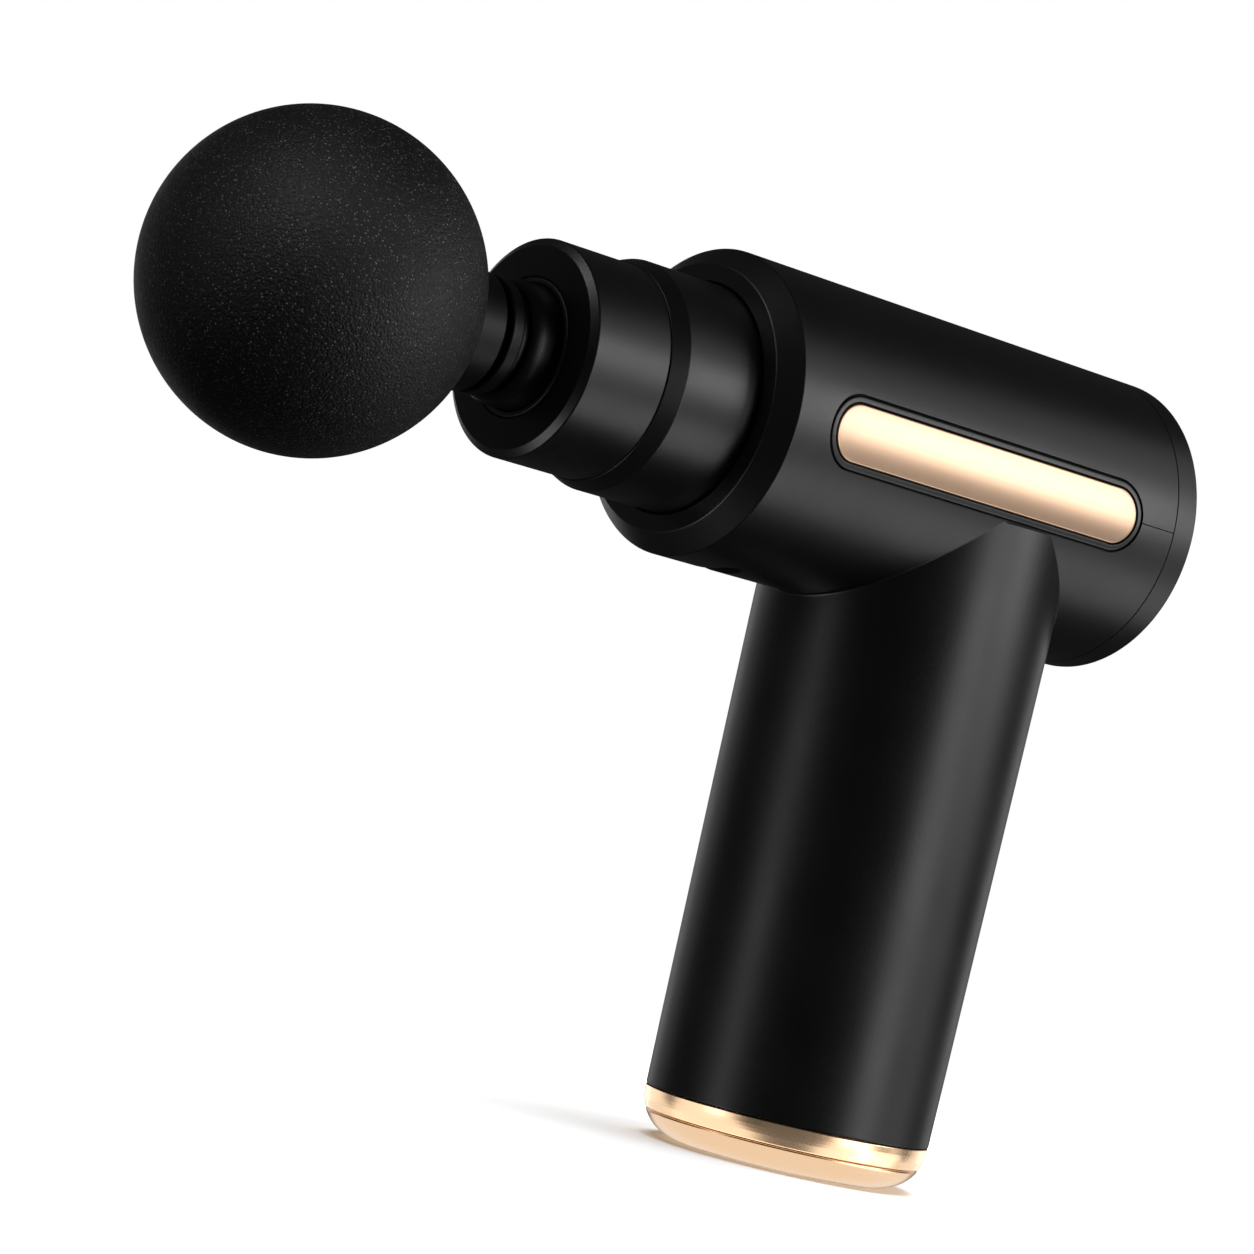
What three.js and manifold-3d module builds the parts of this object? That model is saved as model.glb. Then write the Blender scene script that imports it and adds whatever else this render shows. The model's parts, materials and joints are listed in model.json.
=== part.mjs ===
// A cordless massage gun: a round barrel with a stroking plunger and a foam ball head, on an
// upright handle that holds two battery cells. Millimetres, +Z up, head towards -X.
// The origin is the centre of the handle's flat base, and the barrel's axis runs along X above it.
import * as THREE from "three";
import { mergeVertices } from "three/addons/utils/BufferGeometryUtils.js";
import Module from "manifold-3d";

const wasm = await Module();
wasm.setup();

// ---------------------------------------------------------------- driving dimensions
const GAP = 0.3; // clearance between pieces that meet
const WALL = 2.2; // moulded shell thickness

const AXIS_Z = 112; // height of the barrel's axis
const BARREL_R = 24;
const BARREL_FRONT = -55.1;
const BARREL_REAR = 31.4;
const BARREL_CHAMFER = 3.05; // across the front edge, both ways
const REAR_END = 36.2;

const HANDLE_TOP_R = 23.8;
const HANDLE_BASE_R = 22.95;
const HANDLE_BASE_Z = 7.75;
const HANDLE_STRAIGHT_Z = AXIS_Z - BARREL_R;

const COLLAR_R = 17.9;
const COLLAR_FRONT = -72.3;
const COLLAR_BEVEL = 2.8;
const COLLAR_BORE_R = 15;
const NOSE_R = 16.7;
const NOSE_FRONT = -87.1;
const NOSE_HOLE_R = 10.6;
const NOSE_BORE_R = 13.3;
const NOSE_CHAMFER = [0.8, 1.2]; // along the axis and across it
const BUSH_R = 9.9;

const PLUNGER_R = 9.6;
const PLUNGER_SHOULDER = -92.3;
const SHOULDER_LENGTH = 2.4; // the plunger swells to its full radius over this length
const SHOULDER_RISE = 1.1;
const PLUNGER_REAR = -28;
const NECK_R = 7.9;
const NECK_FRONT = -96.3;
const SOCKET_R = 7.25;
const SOCKET_END = -75.6;
const WRIST_X = -34;
const CLEVIS_HALF = 2.5;

const BALL_R = 25;
const BALL_X = -126;
const STEM_R = 9.1;
const STEM_END = -97.1;
const STEM_ROOT = -118;
const PLUG_R = 6.9;
const PLUG_END = -76.2;

const CRANK_THROW = 3; // half the plunger's stroke
const ROD_SET = 1.5; // the small end's sideways offset at rest
const CELL_R = 9.2;
const CELL_LENGTH = 65;
const CELL_BASE = 16.3;
const CELL_X = 3;
const CELL_Y = 9.35;

const INLAY_FRONT = -43.9;
const INLAY_REAR = 22.4;
const INLAY_HALF = 4.5;
const SURROUND_BORDER = 1.3;

const EDGE = 7.1; // rounding of the base's lower edge
const BAND_Z = 4.4;
const BUMPER_TOP = 4.1;

const PANEL_R = 20.4;
const PANEL_FRONT = 33.4;
const PANEL_FACE = 35.7;
const LED_CIRCLE_R = 10.3;
const LED_ANGLES = [-65, -39.5, -13, 13, 39.5, 65];
const BUTTON_R = 6.2;
const BUTTON_FACE = 35.95;
const PORT_DROP = 13.5; // port centre below the barrel's axis
const MARK_DROP = 7.1; // indicator below the barrel's axis

const ROUND = 32; // sides of the large turned pieces
const MEDIUM = 20;
const SMALL = 12;
const TINY = 8;

// ---------------------------------------------------------------- materials
const look = (color, roughness, metalness = 0) =>
  new THREE.MeshStandardMaterial({ color, roughness, metalness });

const shellBlack = () => look(0x17181a, 0.5);
const panelBlack = () => look(0x101113, 0.35);
const glossBlack = () => look(0x0c0c0e, 0.2);
const rubberBlack = () => look(0x141414, 0.8);
const foamBlack = () => look(0x161616, 0.9);
const gold = () => look(0xd8b184, 0.28, 1);
const steel = () => look(0xa8abb0, 0.35, 1);
const brass = () => look(0xb59a54, 0.4, 1);
const aluminium = () => look(0xb9bcc0, 0.45, 1);
const boardGreen = () => look(0x1c4a33, 0.6);
const cellSleeve = () => look(0x2f7fb5, 0.4);
const carrierGrey = () => look(0x3a3d40, 0.6);
const lampBlue = () => look(0xbcd2ff, 0.3);
const ironGrey = () => look(0x4b4d50, 0.5, 0.6);

// ---------------------------------------------------------------- solids
// A three.js geometry as a closed solid, turned the right way out.
function solid(geometry) {
  const bare = geometry.index ? geometry.toNonIndexed() : geometry.clone();
  bare.deleteAttribute("normal");
  bare.deleteAttribute("uv");
  const merged = mergeVertices(bare, 1e-4);
  const index = merged.index.array;
  const triangles = [];
  for (let i = 0; i < index.length; i += 3) {
    const [a, b, c] = [index[i], index[i + 1], index[i + 2]];
    if (a !== b && b !== c && c !== a) triangles.push(a, b, c);
  }
  const vertProperties = merged.attributes.position.array;
  const build = (list) =>
    new wasm.Manifold(
      new wasm.Mesh({ numProp: 3, vertProperties, triVerts: new Uint32Array(list) }),
    );
  const made = build(triangles);
  return made.volume() < 0 ? build(triangles.reverse()) : made;
}

// A closed solid as a three.js geometry.
function geometryOf(body) {
  const mesh = body.getMesh();
  const geometry = new THREE.BufferGeometry();
  const positions = new THREE.BufferAttribute(Float32Array.from(mesh.vertProperties), 3);
  geometry.setAttribute("position", positions);
  geometry.setIndex(new THREE.BufferAttribute(Uint32Array.from(mesh.triVerts), 1));
  geometry.computeVertexNormals();
  return geometry;
}

const join = (...bodies) => bodies.reduce((all, body) => all.add(body));
const cut = (body, ...tools) => tools.reduce((left, tool) => left.subtract(tool), body);

// A turned body from a list of [distance along the axis, radius] points. The list either starts
// and ends on the axis, or is the loop of a ring, which is closed here.
function lathe(profile, sides) {
  const points = profile.map(([along, radius]) => new THREE.Vector2(radius, along));
  const last = profile[profile.length - 1];
  if (profile[0][1] > 0 || last[1] > 0) points.push(points[0].clone());
  return new THREE.LatheGeometry(points, sides);
}

// Turned about the barrel's axis, or about a parallel axis offset by y and z.
function turnedX(profile, sides, y = 0, z = AXIS_Z) {
  return solid(lathe(profile, sides).rotateZ(-Math.PI / 2).translate(0, y, z));
}

// Turned about the handle's axis, or about a parallel axis at x and y.
function turnedZ(profile, sides, x = 0, y = 0) {
  return solid(lathe(profile, sides).rotateX(Math.PI / 2).translate(x, y, 0));
}

const rodProfile = (from, to, radius) => [[from, 0], [from, radius], [to, radius], [to, 0]];
const ringProfile = (from, to, inner, outer) => [
  [from, inner],
  [from, outer],
  [to, outer],
  [to, inner],
];

const rodX = (from, to, radius, sides, y, z) => turnedX(rodProfile(from, to, radius), sides, y, z);
const rodZ = (from, to, radius, sides, x, y) => turnedZ(rodProfile(from, to, radius), sides, x, y);
const ringX = (from, to, inner, outer, sides) => turnedX(ringProfile(from, to, inner, outer), sides);
const ringZ = (from, to, inner, outer, sides, x, y) =>
  turnedZ(ringProfile(from, to, inner, outer), sides, x, y);

function box(x0, x1, y0, y1, z0, z1) {
  const geometry = new THREE.BoxGeometry(x1 - x0, y1 - y0, z1 - z0);
  return solid(geometry.translate((x0 + x1) / 2, (y0 + y1) / 2, (z0 + z1) / 2));
}

// A slot outline with round ends, lying along the first axis of its plane.
function slotShape(from, to, half, ends) {
  const shape = new THREE.Shape();
  shape.absarc(to - half, 0, half, -Math.PI / 2, Math.PI / 2, false);
  shape.absarc(from + half, 0, half, Math.PI / 2, Math.PI * 1.5, false);
  return { shape, curveSegments: ends };
}

function extruded({ shape, curveSegments }, depth) {
  return new THREE.ExtrudeGeometry(shape, { depth, bevelEnabled: false, curveSegments });
}

// A slot-shaped block on the barrel's side, from x to x, between two distances from the middle.
function sideSlot(side, from, to, half, near, far) {
  const block = extruded(slotShape(from, to, half, 7), far - near).rotateX(Math.PI / 2);
  const y = side > 0 ? far : -near;
  return solid(block.translate(0, y, AXIS_Z));
}

// A slot-shaped block across the rear panel, its long way along Y, at a height.
function rearSlot(halfWidth, halfHeight, from, to, z) {
  const block = extruded(slotShape(-halfWidth, halfWidth, halfHeight, 5), to - from);
  return solid(block.rotateX(Math.PI / 2).rotateZ(Math.PI / 2).translate(from, 0, z));
}

// The shares 0 to 1 of a length in a number of equal steps.
const evenly = (steps) => Array.from({ length: steps + 1 }, (_, i) => i / steps);

// Points on a circle of directions in degrees around the barrel's axis, seen from behind.
const around = (radius, directions) =>
  directions.map((degrees) => {
    const angle = THREE.MathUtils.degToRad(degrees);
    return [radius * Math.cos(angle), AXIS_Z + radius * Math.sin(angle)];
  });

// Points of an arc in a turned profile, from one angle to another in degrees.
function arc(alongCentre, radiusCentre, size, fromDegrees, toDegrees, steps) {
  return evenly(steps).map((share) => {
    const angle = THREE.MathUtils.degToRad(fromDegrees + (toDegrees - fromDegrees) * share);
    return [alongCentre + size * Math.cos(angle), radiusCentre + size * Math.sin(angle)];
  });
}

// ---------------------------------------------------------------- fasteners
const SCREW_R = 1.2;
const SCREW_HOLE_R = 1.6;
const SCREW_HEAD_R = 1.9;
const SCREW_HEAD = 1.5;

// A pan-head screw as a turned profile: the head's underside at 0, its shank towards +.
const screwProfile = (length) => [
  [-SCREW_HEAD, 0],
  [-SCREW_HEAD, SCREW_HEAD_R * 0.7],
  [-SCREW_HEAD * 0.6, SCREW_HEAD_R],
  [0, SCREW_HEAD_R],
  [0, SCREW_R],
  [length - 1, SCREW_R],
  [length, 0],
];

// The screw placed with its head's underside at a height, pointing up or down.
function screwZ(x, y, z, length, up) {
  const sign = up ? 1 : -1;
  return turnedZ(screwProfile(length).map(([a, r]) => [z + sign * a, r]), TINY, x, y);
}

function screwX(x, y, z, length) {
  return turnedX(screwProfile(length).map(([a, r]) => [x - a, r]), TINY, y, z);
}

// ---------------------------------------------------------------- housing
const handleRadius = (z) => {
  const share = (z - HANDLE_BASE_Z) / (HANDLE_STRAIGHT_Z - HANDLE_BASE_Z);
  return HANDLE_BASE_R + (HANDLE_TOP_R - HANDLE_BASE_R) * THREE.MathUtils.clamp(share, 0, 1);
};

const SURROUND_HALF = INLAY_HALF + SURROUND_BORDER;
const POCKET_HALF = SURROUND_HALF + GAP / 2;
const POCKET_FLOOR = 22.4;
const SPLIT_HALF_GAP = GAP / 2;

const COLLAR_FLANGE = [-52.6, -50.4];
const RIB = [-50.1, -48.4];
const RIB_BORE_R = 16.4;

const REAR_SCREW_R = 18.3;
const rearScrewSpots = around(REAR_SCREW_R, [45, 135, 225, 315]);
const BRACKET_SCREW_X = 18.2;
const BASE_SCREW_X = 17.6;
const boardScrewSpots = [[-16, 11], [13, -11]];
const BOARD_Z = 122.5;
const BOARD_THICK = 1.6;
const BOSS_R = 2.6;
const RIB_HALF = 1.3;
const BRACKET_BOSS = [72, 84];
const BASE_BOSS = [13.6, 26];
const REAR_BOSS = [19, 28.2];
const VENT_X = -41.3;
const VENT_HALF_LENGTH = 6.2;
const VENT_HALF_WIDTH = 2;

function barrelOuter() {
  return turnedX(
    [
      [BARREL_FRONT, 0],
      [BARREL_FRONT, BARREL_R - BARREL_CHAMFER],
      [BARREL_FRONT + BARREL_CHAMFER, BARREL_R],
      [BARREL_REAR, BARREL_R],
      [BARREL_REAR, 0],
    ],
    ROUND,
  );
}

function barrelCavity() {
  const inner = BARREL_R - WALL;
  const mouth = COLLAR_R + GAP;
  const flangeSeat = COLLAR_FLANGE[0] - GAP;
  return turnedX(
    [
      [BARREL_FRONT - 1, 0],
      [BARREL_FRONT - 1, mouth],
      [flangeSeat, mouth],
      [flangeSeat, inner],
      [RIB[0], inner],
      [RIB[0], RIB_BORE_R],
      [RIB[1], RIB_BORE_R],
      [RIB[1], inner],
      [BARREL_REAR + 1, inner],
      [BARREL_REAR + 1, 0],
    ],
    ROUND,
  );
}

function handleBody(inset, bottom, top) {
  return turnedZ(
    [
      [bottom, 0],
      [bottom, handleRadius(bottom) - inset],
      [HANDLE_STRAIGHT_Z, HANDLE_TOP_R - inset],
      [top, HANDLE_TOP_R - inset],
      [top, 0],
    ],
    ROUND,
  );
}

// A round boss with a rib that reaches out to the wall, in the handle or in the barrel.
function handleBoss(x, [bottom, top]) {
  const edges = [x, Math.sign(x) * (HANDLE_TOP_R - 1)].sort((a, b) => a - b);
  const rib = box(...edges, -RIB_HALF, RIB_HALF, bottom, top);
  const boss = join(rodZ(bottom, top, BOSS_R, SMALL, x, 0), rib);
  return boss.intersect(handleBody(WALL / 2, 1, AXIS_Z));
}

function rearBoss([y, z]) {
  const rib = box(...REAR_BOSS, REAR_SCREW_R, BARREL_R - 1, -RIB_HALF, RIB_HALF);
  const angle = THREE.MathUtils.radToDeg(Math.atan2(z - AXIS_Z, y));
  const turned = rib.rotate([angle, 0, 0]).translate([0, 0, AXIS_Z]);
  return join(rodX(...REAR_BOSS, BOSS_R, SMALL, y, z), turned);
}

function inlayPockets(body) {
  const reach = POCKET_HALF - INLAY_HALF;
  return [1, -1].reduce(
    (left, side) =>
      left.subtract(
        sideSlot(side, INLAY_FRONT - reach, INLAY_REAR + reach, POCKET_HALF, POCKET_FLOOR, 30),
      ),
    body,
  );
}

function rearScrewHoles(body) {
  return rearScrewSpots.reduce(
    (left, [y, z]) => left.subtract(rodX(18, 30, SCREW_HOLE_R, TINY, y, z)),
    body,
  );
}

function housingLower() {
  const outer = join(barrelOuter(), handleBody(0, HANDLE_BASE_Z, AXIS_Z - POCKET_HALF));
  const hollow = cut(outer, barrelCavity(), handleBody(WALL, HANDLE_BASE_Z - 1, AXIS_Z));
  const bosses = join(
    rearBoss(rearScrewSpots[2]),
    rearBoss(rearScrewSpots[3]),
    ...[-1, 1].map((side) => handleBoss(side * BRACKET_SCREW_X, BRACKET_BOSS)),
    ...[-1, 1].map((side) => handleBoss(side * BASE_SCREW_X, BASE_BOSS)),
  );
  const screwHoles = [-1, 1].flatMap((side) => [
    rodZ(BRACKET_BOSS[0] + 2, BRACKET_BOSS[1] + 1, SCREW_HOLE_R, TINY, side * BRACKET_SCREW_X, 0),
    rodZ(BASE_BOSS[0] - 1, BASE_BOSS[1] - 2, SCREW_HOLE_R, TINY, side * BASE_SCREW_X, 0),
  ]);
  const vent = rearSlot(VENT_HALF_LENGTH, VENT_HALF_WIDTH, 0, 6, 0)
    .rotate([0, 90, 0])
    .translate([VENT_X, 0, AXIS_Z - BARREL_R + 4]);
  const drilled = cut(
    join(hollow, bosses),
    ...screwHoles,
    vent,
    box(-70, 50, -40, 40, AXIS_Z - SPLIT_HALF_GAP, AXIS_Z + 40),
  );
  return rearScrewHoles(inlayPockets(drilled));
}

function housingUpper() {
  const boardBosses = boardScrewSpots.map(([x, y]) =>
    rodZ(BOARD_Z + BOARD_THICK + GAP, AXIS_Z + 20, 2.4, SMALL, x, y),
  );
  const shell = join(
    cut(barrelOuter(), barrelCavity()),
    rearBoss(rearScrewSpots[0]),
    rearBoss(rearScrewSpots[1]),
    join(...boardBosses).intersect(rodX(-40, 30, BARREL_R - WALL / 2, ROUND, 0, AXIS_Z)),
  );
  const holes = boardScrewSpots.map(([x, y]) =>
    rodZ(BOARD_Z, BOARD_Z + 7.4, SCREW_HOLE_R, TINY, x, y),
  );
  const below = box(-70, 50, -40, 40, 60, AXIS_Z + SPLIT_HALF_GAP);
  return rearScrewHoles(inlayPockets(cut(shell, ...holes, below)));
}

// ---------------------------------------------------------------- inlays
function inlaySurround(side) {
  const border = sideSlot(
    side,
    INLAY_FRONT - SURROUND_BORDER,
    INLAY_REAR + SURROUND_BORDER,
    SURROUND_HALF,
    POCKET_FLOOR + 0.15,
    30,
  ).intersect(rodX(-60, 40, BARREL_R, ROUND, 0, AXIS_Z));
  const well = sideSlot(
    side,
    INLAY_FRONT - 0.2,
    INLAY_REAR + 0.2,
    INLAY_HALF + 0.2,
    POCKET_FLOOR + 0.75,
    30,
  );
  return cut(border, well);
}

function inlayStrip(side) {
  return sideSlot(side, INLAY_FRONT, INLAY_REAR, INLAY_HALF, POCKET_FLOOR + 0.95, 30).intersect(
    rodX(-60, 40, BARREL_R + 0.05, ROUND, 0, AXIS_Z),
  );
}

// ---------------------------------------------------------------- front end
const FOOT_X = BARREL_FRONT - GAP;
const FOOT_SIZE = 1.7;
const BUSH_STOP_X = -55.7;
const STOP_R = 11.5;
const FLANGE_R = 21.3;
const NOSE_WALL = 1.3;
const SEAL_BACK = NOSE_FRONT + 3.2;

function frontCollar() {
  const foot = arc(FOOT_X - FOOT_SIZE, COLLAR_R + FOOT_SIZE, FOOT_SIZE, 0, -90, 4);
  return turnedX(
    [
      [COLLAR_FLANGE[1], STOP_R],
      [COLLAR_FLANGE[1], FLANGE_R],
      [COLLAR_FLANGE[0], FLANGE_R],
      [COLLAR_FLANGE[0], COLLAR_R],
      [FOOT_X, COLLAR_R],
      ...foot,
      [COLLAR_FRONT + COLLAR_BEVEL, COLLAR_R],
      [COLLAR_FRONT, NOSE_R + 0.2],
      [COLLAR_FRONT, COLLAR_BORE_R],
      [BUSH_STOP_X, COLLAR_BORE_R],
      [BUSH_STOP_X, STOP_R],
    ],
    ROUND,
  );
}

function noseSleeve() {
  const shoulder = COLLAR_FRONT - GAP;
  const spigot = COLLAR_BORE_R - GAP;
  const wallBack = NOSE_FRONT + NOSE_WALL;
  const rear = BUSH_STOP_X - GAP;
  return turnedX(
    [
      [NOSE_FRONT, NOSE_HOLE_R],
      [NOSE_FRONT, NOSE_R - NOSE_CHAMFER[1]],
      [NOSE_FRONT + NOSE_CHAMFER[0], NOSE_R],
      [shoulder, NOSE_R],
      [shoulder, spigot],
      [rear, spigot],
      [rear, NOSE_BORE_R],
      [wallBack, NOSE_BORE_R],
      [wallBack, NOSE_HOLE_R],
    ],
    ROUND,
  );
}

// A flanged wiper whose lip fills the nose's hole around the plunger.
function dustSeal() {
  const flangeFront = NOSE_FRONT + NOSE_WALL + GAP;
  return turnedX(
    [
      [NOSE_FRONT, BUSH_R],
      [NOSE_FRONT, NOSE_HOLE_R - GAP],
      [flangeFront, NOSE_HOLE_R - GAP],
      [flangeFront, NOSE_BORE_R - GAP],
      [SEAL_BACK, NOSE_BORE_R - GAP],
      [SEAL_BACK, BUSH_R],
    ],
    MEDIUM,
  );
}

const guideBush = () =>
  ringX(SEAL_BACK + GAP, BUSH_STOP_X - GAP, BUSH_R, NOSE_BORE_R - GAP, MEDIUM);

// ---------------------------------------------------------------- plunger and head
function plunger() {
  const shoulder = evenly(4).map((share) => {
    const turn = (Math.PI / 2) * share;
    return [
      PLUNGER_SHOULDER + SHOULDER_LENGTH * (1 - Math.cos(turn)),
      PLUNGER_R - SHOULDER_RISE * (1 - Math.sin(turn)),
    ];
  });
  const body = turnedX(
    [
      [SOCKET_END, 0],
      [SOCKET_END, SOCKET_R],
      [NECK_FRONT, SOCKET_R],
      [NECK_FRONT, NECK_R],
      [PLUNGER_SHOULDER, NECK_R],
      ...shoulder,
      [PLUNGER_REAR, PLUNGER_R],
      [PLUNGER_REAR, 0],
    ],
    MEDIUM,
  );
  const slotEnd = WRIST_X - 10;
  const past = PLUNGER_R + 2;
  return cut(
    body,
    box(slotEnd, PLUNGER_REAR + 1, -past, past, AXIS_Z - CLEVIS_HALF, AXIS_Z + CLEVIS_HALF),
    rodZ(AXIS_Z - past, AXIS_Z + past, WRIST_PIN_R + GAP, SMALL, WRIST_X, 0),
  );
}

const WRIST_PIN_R = 2;
const WRIST_PIN_HALF = 8.6;
const GRIP_RING_R = 9;

const gripRing = () =>
  ringX(NECK_FRONT + 0.2, PLUNGER_SHOULDER - 1.4, NECK_R + GAP, GRIP_RING_R, MEDIUM);
const wristPin = () =>
  rodZ(AXIS_Z - WRIST_PIN_HALF, AXIS_Z + WRIST_PIN_HALF, WRIST_PIN_R, SMALL, WRIST_X, 0);

const RING_SPOTS = [-92.5, -80.5]; // the two rubber rings on the plug
const RING_WIDTH = 1.8;
const RING_GROOVE_R = 5.7;
const STEM_CHAMFER = 0.5;

function headStem() {
  const grooves = RING_SPOTS.flatMap((x) => [
    [x - RING_WIDTH / 2 - 0.2, PLUG_R],
    [x - RING_WIDTH / 2 - 0.2, RING_GROOVE_R],
    [x + RING_WIDTH / 2 + 0.2, RING_GROOVE_R],
    [x + RING_WIDTH / 2 + 0.2, PLUG_R],
  ]);
  return turnedX(
    [
      [STEM_ROOT, 0],
      [STEM_ROOT, STEM_R],
      [STEM_END - STEM_CHAMFER, STEM_R],
      [STEM_END, STEM_R - STEM_CHAMFER],
      [STEM_END, PLUG_R],
      ...grooves,
      [PLUG_END - 1, PLUG_R],
      [PLUG_END, PLUG_R - 1],
      [PLUG_END, 0],
    ],
    MEDIUM,
  );
}

const plugRing = (x) =>
  ringX(x - RING_WIDTH / 2, x + RING_WIDTH / 2, RING_GROOVE_R + GAP, PLUG_R + 0.05, MEDIUM);

function headBall() {
  const ball = new THREE.SphereGeometry(BALL_R, 24, 14).rotateZ(Math.PI / 2);
  const stemHole = rodX(STEM_ROOT - GAP, BALL_X + BALL_R + 1, STEM_R + GAP, MEDIUM);
  return cut(solid(ball.translate(BALL_X, 0, AXIS_Z)), stemHole);
}

// ---------------------------------------------------------------- drive
const BRACKET_Z = 84.3;
const BRACKET_THICK = 2;
const BRACKET_R = 20.9;
const BRACKET_HOLE_R = 4;
const WINDOW_R = 3.2; // the bracket's four wiring windows
const WINDOW_CIRCLE_R = 16.2;
const MOUNT_Z = BRACKET_Z + BRACKET_THICK + GAP;
const ROTOR_Z = [89.4, 104];
const ROTOR_R = 17;
const CRANK_Z = [104.4, 109.2];
const ROD_Z = [109.9, 114.1];
const SHAFT_R = 2;
const PIN_R = 2.5;
const PIN_SEAT_Z = 106.8; // the shaft ends below this height and the crank pin starts above it
const BEARING_R = 5;
const BORE_R = 3.4;
const TUBE_R = 5.6;
const MOUNT_FLANGE_R = 12;
const MOUNT_TOP = 101.6;
const BEARING_SEAT_R = 4.3;
const BEARING_LENGTH = 2.8;
const BEARING_Z = [88.4, 98.6];
const STATOR_Z = 90.6;
const STATOR_LENGTH = 9;
const STATOR_TEETH = 9;
const ROTOR_WALL = 1.4;
const HUB_R = 8;
const WEIGHT_R = 15;
const PIN_TOP = 116.2;
const CLIP_Z = [114.5, 115.5];
const CLIP_R = 4.6;

function motorBracket() {
  const z0 = BRACKET_Z;
  const z1 = BRACKET_Z + BRACKET_THICK;
  const windows = around(WINDOW_CIRCLE_R, [45, 135, 225, 315]).map(([x, z]) =>
    rodZ(z0 - 1, z1 + 1, WINDOW_R, SMALL, x, z - AXIS_Z),
  );
  const screwHoles = [-1, 1].map((side) =>
    rodZ(z0 - 1, z1 + 1, SCREW_HOLE_R, TINY, side * BRACKET_SCREW_X, 0),
  );
  return cut(
    rodZ(z0, z1, BRACKET_R, MEDIUM),
    rodZ(z0 - 1, z1 + 1, BRACKET_HOLE_R, SMALL, 0, 0),
    ...screwHoles,
    ...windows,
  );
}

// A flanged tube that carries the stator outside and a bearing in each end.
function motorMount() {
  const flangeTop = MOUNT_Z + 1.8;
  return turnedZ(
    [
      [MOUNT_Z, BORE_R],
      [MOUNT_Z, MOUNT_FLANGE_R],
      [flangeTop, MOUNT_FLANGE_R],
      [flangeTop, TUBE_R],
      [MOUNT_TOP, TUBE_R],
      [MOUNT_TOP, BEARING_SEAT_R],
      [BEARING_Z[1] - 0.2, BEARING_SEAT_R],
      [BEARING_Z[1] - 0.2, BORE_R],
      [BEARING_Z[0] + BEARING_LENGTH + 0.4, BORE_R],
      [BEARING_Z[0] + BEARING_LENGTH + 0.4, BEARING_SEAT_R],
      [BEARING_Z[0] - 0.4, BEARING_SEAT_R],
      [BEARING_Z[0] - 0.4, BORE_R],
    ],
    SMALL,
  );
}

// The iron core with its wound teeth, as one star-shaped block around the bearing tube.
// A tooth's corners are a radius and a share of the pitch to either side of its middle.
function motorStator() {
  const pitch = (Math.PI * 2) / STATOR_TEETH;
  const flank = [[9.2, 0.42], [12.4, 0.36], [13.8, 0.42]];
  const mirrored = flank.map(([radius, share]) => [radius, -share]);
  const corners = [...mirrored, ...flank.reverse()];
  const points = evenly(STATOR_TEETH).slice(1).flatMap((turn) =>
    corners.map(([radius, share]) => {
      const angle = turn * Math.PI * 2 + share * pitch;
      return new THREE.Vector2(radius * Math.cos(angle), radius * Math.sin(angle));
    }),
  );
  const outline = new THREE.Shape(points);
  outline.holes.push(new THREE.Path().absarc(0, 0, TUBE_R + GAP, 0, Math.PI * 2, true));
  const core = extruded({ shape: outline, curveSegments: SMALL / 2 }, STATOR_LENGTH);
  return solid(core.translate(0, 0, STATOR_Z));
}

const motorBearing = (z) =>
  ringZ(z, z + BEARING_LENGTH, SHAFT_R + GAP, BEARING_SEAT_R - GAP, SMALL);

function motorRotor() {
  const inner = ROTOR_R - ROTOR_WALL;
  return turnedZ(
    [
      [ROTOR_Z[0], inner],
      [ROTOR_Z[0], ROTOR_R],
      [ROTOR_Z[1] - 1, ROTOR_R],
      [ROTOR_Z[1], ROTOR_R - 1],
      [ROTOR_Z[1], SHAFT_R + GAP],
      [ROTOR_Z[1] - ROTOR_WALL, SHAFT_R + GAP],
      [ROTOR_Z[1] - ROTOR_WALL, inner],
    ],
    MEDIUM,
  );
}

const rotorMagnets = () => ringZ(ROTOR_Z[0] + 0.4, ROTOR_Z[1] - 2.2, 14.2, 15.3, MEDIUM);
const motorShaft = () => rodZ(85.4, PIN_SEAT_Z - 0.2, SHAFT_R, SMALL, 0, 0);

// A round hub with a heavy half disc opposite the crank pin.
function crankCounterweight() {
  const [bottom, top] = CRANK_Z;
  const past = WEIGHT_R + 1;
  const halfDisc = rodZ(bottom, top, WEIGHT_R, MEDIUM, 0, 0).intersect(
    box(-past, past, -past, -SHAFT_R, bottom - 1, top + 1),
  );
  return cut(
    join(rodZ(bottom, top, HUB_R, MEDIUM, 0, 0), halfDisc),
    rodZ(bottom - 1, PIN_SEAT_Z, SHAFT_R + GAP, SMALL, 0, 0),
    rodZ(PIN_SEAT_Z, top + 1, PIN_R + GAP, SMALL, 0, CRANK_THROW),
  );
}

const crankPin = () => rodZ(PIN_SEAT_Z + 0.2, PIN_TOP, PIN_R, SMALL, 0, CRANK_THROW);
const pinClip = () => ringZ(...CLIP_Z, PIN_R + 0.2, CLIP_R, SMALL, 0, CRANK_THROW);
const bigEndBearing = () =>
  ringZ(...ROD_Z, PIN_R + GAP, BEARING_R, SMALL, 0, CRANK_THROW);

const BIG_END_R = BEARING_R + 3.2;
const SMALL_END_R = 6.2;
const SMALL_HOLE_R = 3.8; // oversize, so that the rod can keep its direction
const BEAM_WIDTH = 5.6;

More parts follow.
